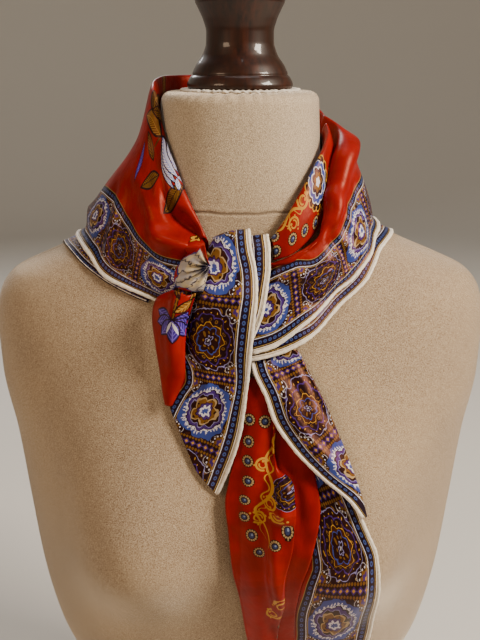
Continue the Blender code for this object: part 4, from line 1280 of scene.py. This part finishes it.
TAIL_LONG_MIDDLE = as_rows(
    (428, 17, 46, 3.6, 4, 3.6), (410, 18, 50, 3.6, 4.6, 3.6), (389, 20, 52, 4, 6, 3.8),
    (365, 22, 56, 4.4, 7.2, 4.2), (331, 20, 50.5, 4.8, 7.2, 4.4), (300, 17, 43, 4.8, 6.4, 4.4),
    (270, 17, 41, 4.6, 5.8, 4.4), (240, 18, 42, 4.2, 5.4, 4), (212, 24, 45, 3.6, 4.4, 3.6),
    (190, 33, 50, 3.4, 3.8, 3.4), (165, 45, 54, 3.3, 3.5, 3.3), (152, 51, 55, 3.3, 3.3, 3.3),
)
TAIL_LONG_ROLL = as_rows(
    (452, 5, 22, 4.6, 5.4, 4.8), (436, 4, 24, 6.6, 8, 8), (419, 3.5, 25, 7.8, 10, 9),
    (405, 0, 24, 8, 11, 9.6), (392, -3.5, 24, 8, 12, 10.4), (378, -6.5, 30, 8, 13, 11.4),
    (363, -9, 37, 8, 13.5, 11.6), (342, -7, 36, 8.4, 14, 11.8), (309, -4, 30, 8.6, 14, 11.6),
    (283, 1, 28, 8.6, 13.5, 11), (241, 7, 27, 8.2, 12, 10.2), (210, 14, 31, 7.4, 10, 9),
    (186, 24, 39, 7, 8.6, 8), (163, 37, 46, 7.1, 7.9, 7.7), (150, 45, 49, 7.1, 7.3, 7.2),
)
TAIL_LONG_FLAP = as_rows(
    (474, 4, 34, 3.4, 4.6, 5.2), (466, 6, 41, 3.8, 5.2, 5.4), (456, 9, 47, 8.2, 9, 6.4),
    (441, 17, 55, 10.8, 12, 7.6), (425, 23, 63, 12.4, 13, 8), (408, 35, 70, 12.6, 12.6, 8),
    (388, 55, 78, 9, 10, 7.6), (371, 76, 84, 7.2, 7.8, 6.8), (360, 84, 87, 6.2, 6.4, 6),
)
FOLD_RADIUS = 1.4
STRIP_STEP = 1.5


def strip_places(table, height, across, turn_left, turn_right):
    """Distance across and lift of a strip, with a folded edge turned under where asked."""
    left, right = column(table, 1, height), column(table, 2, height)
    lift_left, lift_mid, lift_right = (column(table, i, height) for i in (3, 4, 5))
    width = right - left
    flat = np.clip(across, 0, 1)[:, None]
    x = left + width * flat
    lift = (
        lift_left * (1 - flat) * (1 - 2 * flat)
        + lift_mid * 4 * flat * (1 - flat)
        + lift_right * flat * (2 * flat - 1)
    )
    for turn, past, side in ((turn_left, -across, 1), (turn_right, across - 1, -1)):
        past = np.clip(past, 0, None)[:, None] * turn
        if turn:
            bend = np.minimum(past / FOLD_RADIUS, math.pi)
            run = np.clip(past - math.pi * FOLD_RADIUS, 0, None)
            x = x - side * FOLD_RADIUS * np.sin(bend) + side * np.minimum(run, 0.4 * width)
            lift = lift - FOLD_RADIUS * (1 - np.cos(bend))
    return x, lift


def strip_surface(table, height, across, turn_left=0.0, turn_right=0.0):
    """A strip on the chest, a column of points for each height. Folded edges run past 0 and 1."""
    table = falling(table)
    x, lift = strip_places(table, height, across, turn_left, turn_right)
    z = height + 0 * x
    small = 0.5
    slope_x = (form_front(x + small, z) - form_front(x - small, z)) / (2 * small)
    slope_z = (form_front(x, z + small) - form_front(x, z - small)) / (2 * small)
    steep = np.minimum(np.sqrt(1 + slope_x**2 + slope_z**2), 1.6)
    return np.stack([x, -(form_front(x, z) + lift * steep), z], -1)


def across_strip(count, turn_left, turn_right):
    """Places across a strip, running past 0 and 1 round each folded edge."""
    bend = np.linspace(0.12, 1, 8) * math.pi * FOLD_RADIUS
    places = [np.linspace(0, 1, count)]
    if turn_left:
        places.insert(0, -np.append(bend, turn_left)[::-1] / turn_left)
    if turn_right:
        places.append(1 + np.append(bend, turn_right) / turn_right)
    return np.concatenate(places)


def strip_heights(table, pitch=STRIP_STEP):
    """The heights of a strip's columns, from its top to its foot."""
    return fine_rows(table[0, 0], table[-1, 0], pitch)


def strip_grid(table, columns, pitch=STRIP_STEP, turn_left=0.0, turn_right=0.0):
    """A whole strip, with so many places across it and a folded edge turned under where asked."""
    heights = strip_heights(table, pitch)
    return strip_surface(table, heights, across_strip(columns, turn_left, turn_right), turn_left, turn_right)


print("strip helpers are ready")

# %% [markdown]
# ## The knot and the short tail
#
# One width of the border comes over the knot from behind and falls as the short tail, so it is one
# surface here. A second layer of it shows beside it, and its other half is the red roll on its left.


# %% The band over the knot
ARCH_STEPS = 11
KNOT_BAND_LENGTH = 40.5


def over_the_knot(front, back_top, corner_drop, across):
    """The front grid with an arch added above its first row: half an oval that runs back by back_top and
    then drops behind. The top's corners are lowered, most at the left."""
    lap = np.linspace(math.pi, 0, ARCH_STEPS)[:-1]
    arch = np.repeat(front[:, :1], len(lap), 1)
    arch[..., 1] += 0.5 * back_top * (1 - np.cos(lap))
    arch[..., 2] += 1.2 * np.sin(lap) - 7 * smoothstep(0.5, 1.0, lap / math.pi)
    points = np.concatenate([arch, front], 1)
    down = np.clip((front[0, 0, 2] - front[0, :, 2]) / KNOT_BAND_LENGTH, 0, 1)
    down = np.concatenate([np.zeros(len(lap)), down])
    lean = (1 - across[:, None]) ** 2.5 + 0.12 * across[:, None] ** 4
    points[..., 2] -= corner_drop * lean * (1 - smoothstep(0.1, 0.7, down))[None]
    return points


across = np.linspace(0, 1, 44)
upper = strip_surface(KNOT_WRAP, fine_rows(549.5, 509, STRIP_STEP), across)
lower = strip_surface(TAIL_SHORT_BAND, fine_rows(507.5, 368, STRIP_STEP), across)
points = over_the_knot(np.concatenate([upper, lower], 1), 11.0, 7.0, across)
points[:, 8:] = smoothed(points[:, 8:], 6)
band_map = reprinted(
    map_from_edge(points, -1, 0.0),
    [(0, 46), (34, 75), (98, 125), (149, 175), (185, 204), (235, 240)],
    [
        (46, 1.2), (75, 1.18), (110, 1.06), (132, 1.1), (150, 1.38), (157, 1.41), (168, 1.27),
        (181, 1.15), (200, 1.1), (240, 1.1),
    ],
)
BAND_CREASES = [
    (86, 26, 150, 20, 6, 1.6), (110, 42, 176, 38, 5, -1.6), (150, 18, 220, 12, 5, -1.2),
    (56, 40, 84, 44, 5, -1.6),
]
band_folds = creases(band_map, BAND_CREASES)
lay("scarf_knot_and_short_tail", points, band_map, border_silk, band_folds, "scarf_short_tail_hem")

# %% The layer beside it
across = np.linspace(0, 1, 24)
beside = strip_surface(KNOT_WRAP_UNDER, strip_heights(KNOT_WRAP_UNDER), across)
points = over_the_knot(beside, 4.0, 4.0, across)
beside_map = map_from_edge(points, -1, 30.0)
lay(
    "scarf_knot_lower_layer", points, beside_map, border_silk, hem="scarf_knot_lower_hem", wide=1.15,
    thick=0.8,
)

# %% The red roll of the short tail
points = smoothed(strip_grid(TAIL_SHORT_ROLL, 30, turn_right=6.0), 3)
short_roll_map = slanted_map(points, -48.5, 427.0, 1.83, BORDER_END)
short_folds = creases(short_roll_map, [(104, 96, 30, 62, 4.5, 2.6), (104, 110, 36, 80, 4.5, -2.6)])
lay("scarf_short_tail_roll", points, short_roll_map, roll_silk, short_folds)

# %% [markdown]
# ## The gather
#
# Left of the knot the cloth runs together into pleats, like a fan closed at one end. Each pleat is a ridge
# that starts at the knot and opens toward the rim, so the height swings with the turn round the fan.


# %% The gathered fan
# The gathered cloth's apex at the knot, and its rim from the top round the left to the foot: x, z, lift.
GATHER_APEX = (-20.5, 529.0, 23.6)
GATHER_RIM = as_rows(
    (-24, 542, 21), (-31, 538, 20), (-40, 531, 17.5), (-45, 522, 18.5), (-44, 515, 21), (-36, 513, 26.5),
    (-25, 513, 26.5),
)
GATHER_DOME = 5.0
GATHER_PLEATS = 6.5
GATHER_PLEAT_DEPTH = 1.1
GATHER_GRID = (120, 30)
GATHER_START = 0.06


def gather_surface(round_rim, out, pleats, deep):
    """Places between the apex (out 0) and the rim (out 1), domed, with pleats that deepen outward and then
    ease off at the rim."""
    stops = np.linspace(0, 1, len(GATHER_RIM))
    rim = np.stack([catmull(np.stack([stops, GATHER_RIM[:, i]], -1), round_rim) for i in range(3)], -1)
    points = np.array(GATHER_APEX) + (rim - np.array(GATHER_APEX)) * out[:, None, None]
    swing = np.cos(math.tau * (pleats * round_rim + 0.12 * np.sin(math.tau * round_rim * 1.7)))
    ridge = deep * swing[None, :] * (np.sin(math.pi * np.clip(out, 0, 1) ** 0.7) + 0.25)[:, None]
    lift = points[..., 2] + GATHER_DOME * np.sin(math.pi * out)[:, None] + ridge
    x, z = points[..., 0], points[..., 1]
    return np.stack([x, -(form_front(x, z) + lift), z], -1)


round_rim, out = np.linspace(0, 1, GATHER_GRID[0]), np.linspace(GATHER_START, 1, GATHER_GRID[1])
points = gather_surface(round_rim, out, GATHER_PLEATS, GATHER_PLEAT_DEPTH)
lay("scarf_gather", points, 100 * np.stack(np.meshgrid(round_rim, out), -1), petal_silk)

# %% [markdown]
# ## The long tail
#
# The other end hangs from under the knot: a flat layer on the velvet with its border and hem on the right,
# a soft red roll down the left, a stretch of field between them, and a flap of border folded over the top.

# %% The layer on the velvet
points = strip_grid(TAIL_LONG_UNDER, 70)
long_map = map_from_edge(points, -1, 0.0)
long_map = reprinted(long_map, [(0, 50), (107, 125), (150, 150), (201, 176), (250, 208), (340, 290)])
# Where the tail is seen narrow the border is drawn in, so its inner line shows: (height, factor).
LONG_SHARES = as_rows((138, 1), (268, 1.04), (302, 1.12), (333, 1.42), (352, 1.58), (380, 1.5), (440, 1.3))
long_map[..., 1] *= column(LONG_SHARES, 1, strip_heights(TAIL_LONG_UNDER))[None, :]
LONG_CREASES = [
    (110, 8, 150, 30, 6, 1.8), (150, 14, 190, 40, 7, -1.8), (180, 10, 230, 30, 7, 1.8),
    (230, 40, 280, 16, 7, -1.4),
]
long_folds = creases(long_map, LONG_CREASES)
lay("scarf_long_tail", points, long_map, border_silk, long_folds, "scarf_long_tail_hem")

# %% The field between
points = strip_grid(TAIL_LONG_MIDDLE, 24)
middle_map = map_from_edge(points, 0, 0.0)
FIELD_CREASES = [(20, 14, 92, 26, 5, 2.2), (50, 12, 150, 12, 5, -2), (100, 26, 170, 20, 5, 1.6)]
field_folds = creases(middle_map, FIELD_CREASES)
lay("scarf_long_tail_field", points, middle_map, field_silk, field_folds)

# %% The roll of the long tail
points = strip_grid(TAIL_LONG_ROLL, 34, turn_left=7.0, turn_right=6.0)
long_roll_map = map_from_edge(points, 9, 0.0)
ROLL_CREASES = [
    (48, 36, 104, 42, 6, -6.5), (20, 23, 116, 25, 6, 3.6), (30, 12, 110, 12, 5, -1.4),
    (118, 34, 200, 30, 5, -3.2), (116, 24, 224, 20, 6, 3), (200, 30, 260, 26, 5, -2),
]
lay("scarf_long_tail_roll", points, long_roll_map, tail_silk, creases(long_roll_map, ROLL_CREASES))

# %% The flap of border
points = strip_grid(TAIL_LONG_FLAP, 40, pitch=1.3, turn_right=6.0)
flap_map = reprinted(
    map_from_edge(points, 0, 0.0), [(0, 70), (20, 90), (63.6, 125), (98, 150), (150, 190)],
    [(70, 1.2), (125, 1.25), (160, 1.45), (200, 1.6)],
)
FLAP_CREASES = [(80, 20, 124, 34, 6, 1.8), (118, 16, 168, 22, 6, -2), (90, 40, 150, 46, 5, 1.4)]
flap_folds = creases(flap_map, FLAP_CREASES)
lay("scarf_long_tail_flap", points, flap_map, border_silk, flap_folds, "scarf_flap_hem", row=0)

# %% [markdown]
# ## The gathered rim of the cover
#
# Where the velvet is drawn in under the cap, its raw edge shows as a pale frill.

# %% The frill
turn = np.linspace(0, math.tau, 361)[:-1]
around_foot = np.linspace(0, math.tau, 11)[:-1]
ruffle = 41.5 + 0.9 * np.sin(37 * turn) + 0.5 * np.sin(23 * turn + 1)
radius = ruffle[None, :] + 2.1 * np.cos(around_foot)[:, None]
height = 641.0 + 1.2 * np.sin(around_foot)[:, None] + 0.35 * np.sin(61 * turn)[None, :]
frill_points = np.stack([radius * np.cos(turn), radius * np.sin(turn), height + 0 * radius], -1)
frill_points = np.concatenate([frill_points, frill_points[:1]])
# The cover's raw edge: gathered cotton thread, matt and a little hairy.
frill_thread, tree, shader = new_material("cotton thread, gathered", {"Roughness": 0.9, "Sheen Weight": 0.4})
place = add(tree, "TexCoord", take=3)
fibres = add(tree, "TexNoise", {"Vector": place, "Scale": 1400.0, "Detail": 2.0})
wear(shader, add(tree, "MixRGB", fibres, "#9C8C78", "#F0E9DD"))
grid_object("cover_frill", frill_points, frill_thread, around=True)
print("the frill stands", round(float(frill_points[..., 2].max()), 1), "mm over the base")

# %% [markdown]
# ## Studio
#
# A plain pale bowl of paper all round, soft lights, and a camera where the photographer stood: in
# front, a little above the knot, looking 18 degrees down.

# %% Floor, lights and camera
FLOOR_REACH, BEND_RADIUS, WALL_TOP = 2.6, 1.2, 4.0  # metres
bend = np.linspace(0, math.pi / 2, 14)
flat = np.linspace(0.02, FLOOR_REACH, 12)[:-1]
curve = FLOOR_REACH + BEND_RADIUS * np.sin(bend)
reach = np.concatenate([flat, curve, np.full(4, FLOOR_REACH + BEND_RADIUS)])
wall = np.linspace(BEND_RADIUS + 0.2, WALL_TOP, 4)
rise = np.concatenate([np.zeros(len(flat)), BEND_RADIUS * (1 - np.cos(bend)), wall])
turn = np.linspace(0, math.tau, 97)[:-1]
floor_points = turned_round(reach, rise, turn)[::-1] / MM
# Matt paper, so that nothing of the room shows in it.
paper, tree, shader = new_material("studio paper, pale", {"Base Color": "#CFCAC2", "Roughness": 0.9})
floor = grid_object("studio_floor", floor_points, paper, around=True, poles=("last",))
for name, where, aim, size, power, tint in (
    ("window_right", (1.32, -0.6, 1.45), (0, 0, 0.45), 0.55, 58, "#FFF2E0"),
    ("window_left", (-1.0, -0.9, 1.2), (0, 0, 0.45), 0.5, 7, "#FFDDB8"),
    ("behind", (-0.5, 1.5, 1.5), (0, 0, 0.4), 0.7, 17, "#FFFFFF"),
    ("ceiling", (0.1, 0.1, 2.0), (0, 0, 0.5), 0.8, 5, "#FFFFFF"),
):
    lamp = bpy.data.lights.new(name, "AREA")
    lamp.size = size
    lamp.energy = power
    lamp.color = linear(tint)[:3]
    light = bpy.data.objects.new(name, lamp)
    light.location = where
    light.rotation_euler = (Vector(aim) - Vector(where)).to_track_quat("-Z", "Y").to_euler()
    bpy.context.scene.collection.objects.link(light)
world = bpy.data.worlds.new("pale room")
world.use_nodes = True
world.node_tree.nodes["Background"].inputs[0].default_value = linear("#DCDDE0")
world.node_tree.nodes["Background"].inputs[1].default_value = 0.16
bpy.context.scene.world = world
lens = bpy.data.cameras.new("camera")
lens.lens = 45
lens.sensor_width = 36
camera = bpy.data.objects.new("camera", lens)
camera.location = (0, -0.615, 0.662)
camera.rotation_euler = (math.radians(72), 0, 0)
bpy.context.scene.collection.objects.link(camera)
bpy.context.scene.camera = camera
print("the camera stands", camera.location[:])

# %% [markdown]
# ## What each piece stands for
#
# Every piece rides on the one body and hides the solids it replaces, and for each sheet the cut of what
# shows of it is worked out and printed.

# %% Rides, hidden solids and cuts
# Each sheet: the solids it replaces, how it is held, what it rests on, and its hem.
SHEETS = [
    (
        "scarf_collar", ["collar_left", "collar_back", "collar_right"], "draped",
        ["velvet_torso", "scarf_collar_under"], ["scarf_collar_hem"],
    ),
    (
        "scarf_collar_under", ["collar_left_under", "collar_back_under", "collar_right_under"], "draped",
        ["velvet_torso"], ["scarf_collar_under_hem"],
    ),
    ("scarf_neck_fold", ["collar_right_roll"], "folded", ["velvet_torso", "scarf_collar"], []),
    (
        "scarf_knot_and_short_tail", ["knot_wrap", "tail_short_band"], "hung",
        ["velvet_torso", "scarf_gather"], ["scarf_short_tail_hem"],
    ),
    ("scarf_knot_lower_layer", ["knot_wrap_under"], "hung", ["velvet_torso"], ["scarf_knot_lower_hem"]),
    (
        "scarf_short_tail_roll", ["tail_short_roll"], "hung",
        ["velvet_torso", "scarf_knot_and_short_tail"], [],
    ),
    ("scarf_gather", ["knot_gather"], "gathered", ["scarf_knot_and_short_tail", "scarf_collar"], []),
    ("scarf_long_tail", ["tail_long_under"], "hung", ["velvet_torso"], ["scarf_long_tail_hem"]),
    ("scarf_long_tail_field", ["tail_long_middle"], "hung", ["scarf_long_tail"], []),
    ("scarf_long_tail_roll", ["tail_long_roll"], "folded", ["scarf_long_tail"], []),
    ("scarf_long_tail_flap", ["tail_long_flap"], "folded", ["scarf_long_tail"], ["scarf_flap_hem"]),
]
PIECES = [
    ("velvet_torso", "velvet", ["form_torso"]), ("cover_frill", "velvet", []),
    ("turned_cap", "cap_wood", ["form_cap"]),
]
PIECES += [(name, "printed_silk", solids) for name, solids, *_ in SHEETS]
PIECES += [(hem, "printed_silk", []) for *_, hems in SHEETS for hem in hems]
made = bpy.data.objects
for name, slot, nodes in PIECES:
    piece = made[name]
    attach(piece, "root")
    if nodes:
        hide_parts(*nodes)


def cut_of(points):
    """The mean length and width of a grid, and its area, in metres: what shows, laid flat."""
    long = run_length(points, 1)[:, -1].mean() * MM
    wide = run_length(points, 0)[-1].mean() * MM
    down, along = np.diff(points, axis=0)[:, :-1], np.diff(points, axis=1)[:-1]
    area = np.linalg.norm(np.cross(down, along), axis=-1).sum() * MM * MM
    return wide, long, area


for name, _, held, rests, hems in SHEETS:
    wide, long, area = cut_of(laid[name])
    rests, hems = [made[other] for other in rests], [made[other] for other in hems]
    print(name, "was cut", round(wide * 1000), "by", round(long * 1000), "mm")
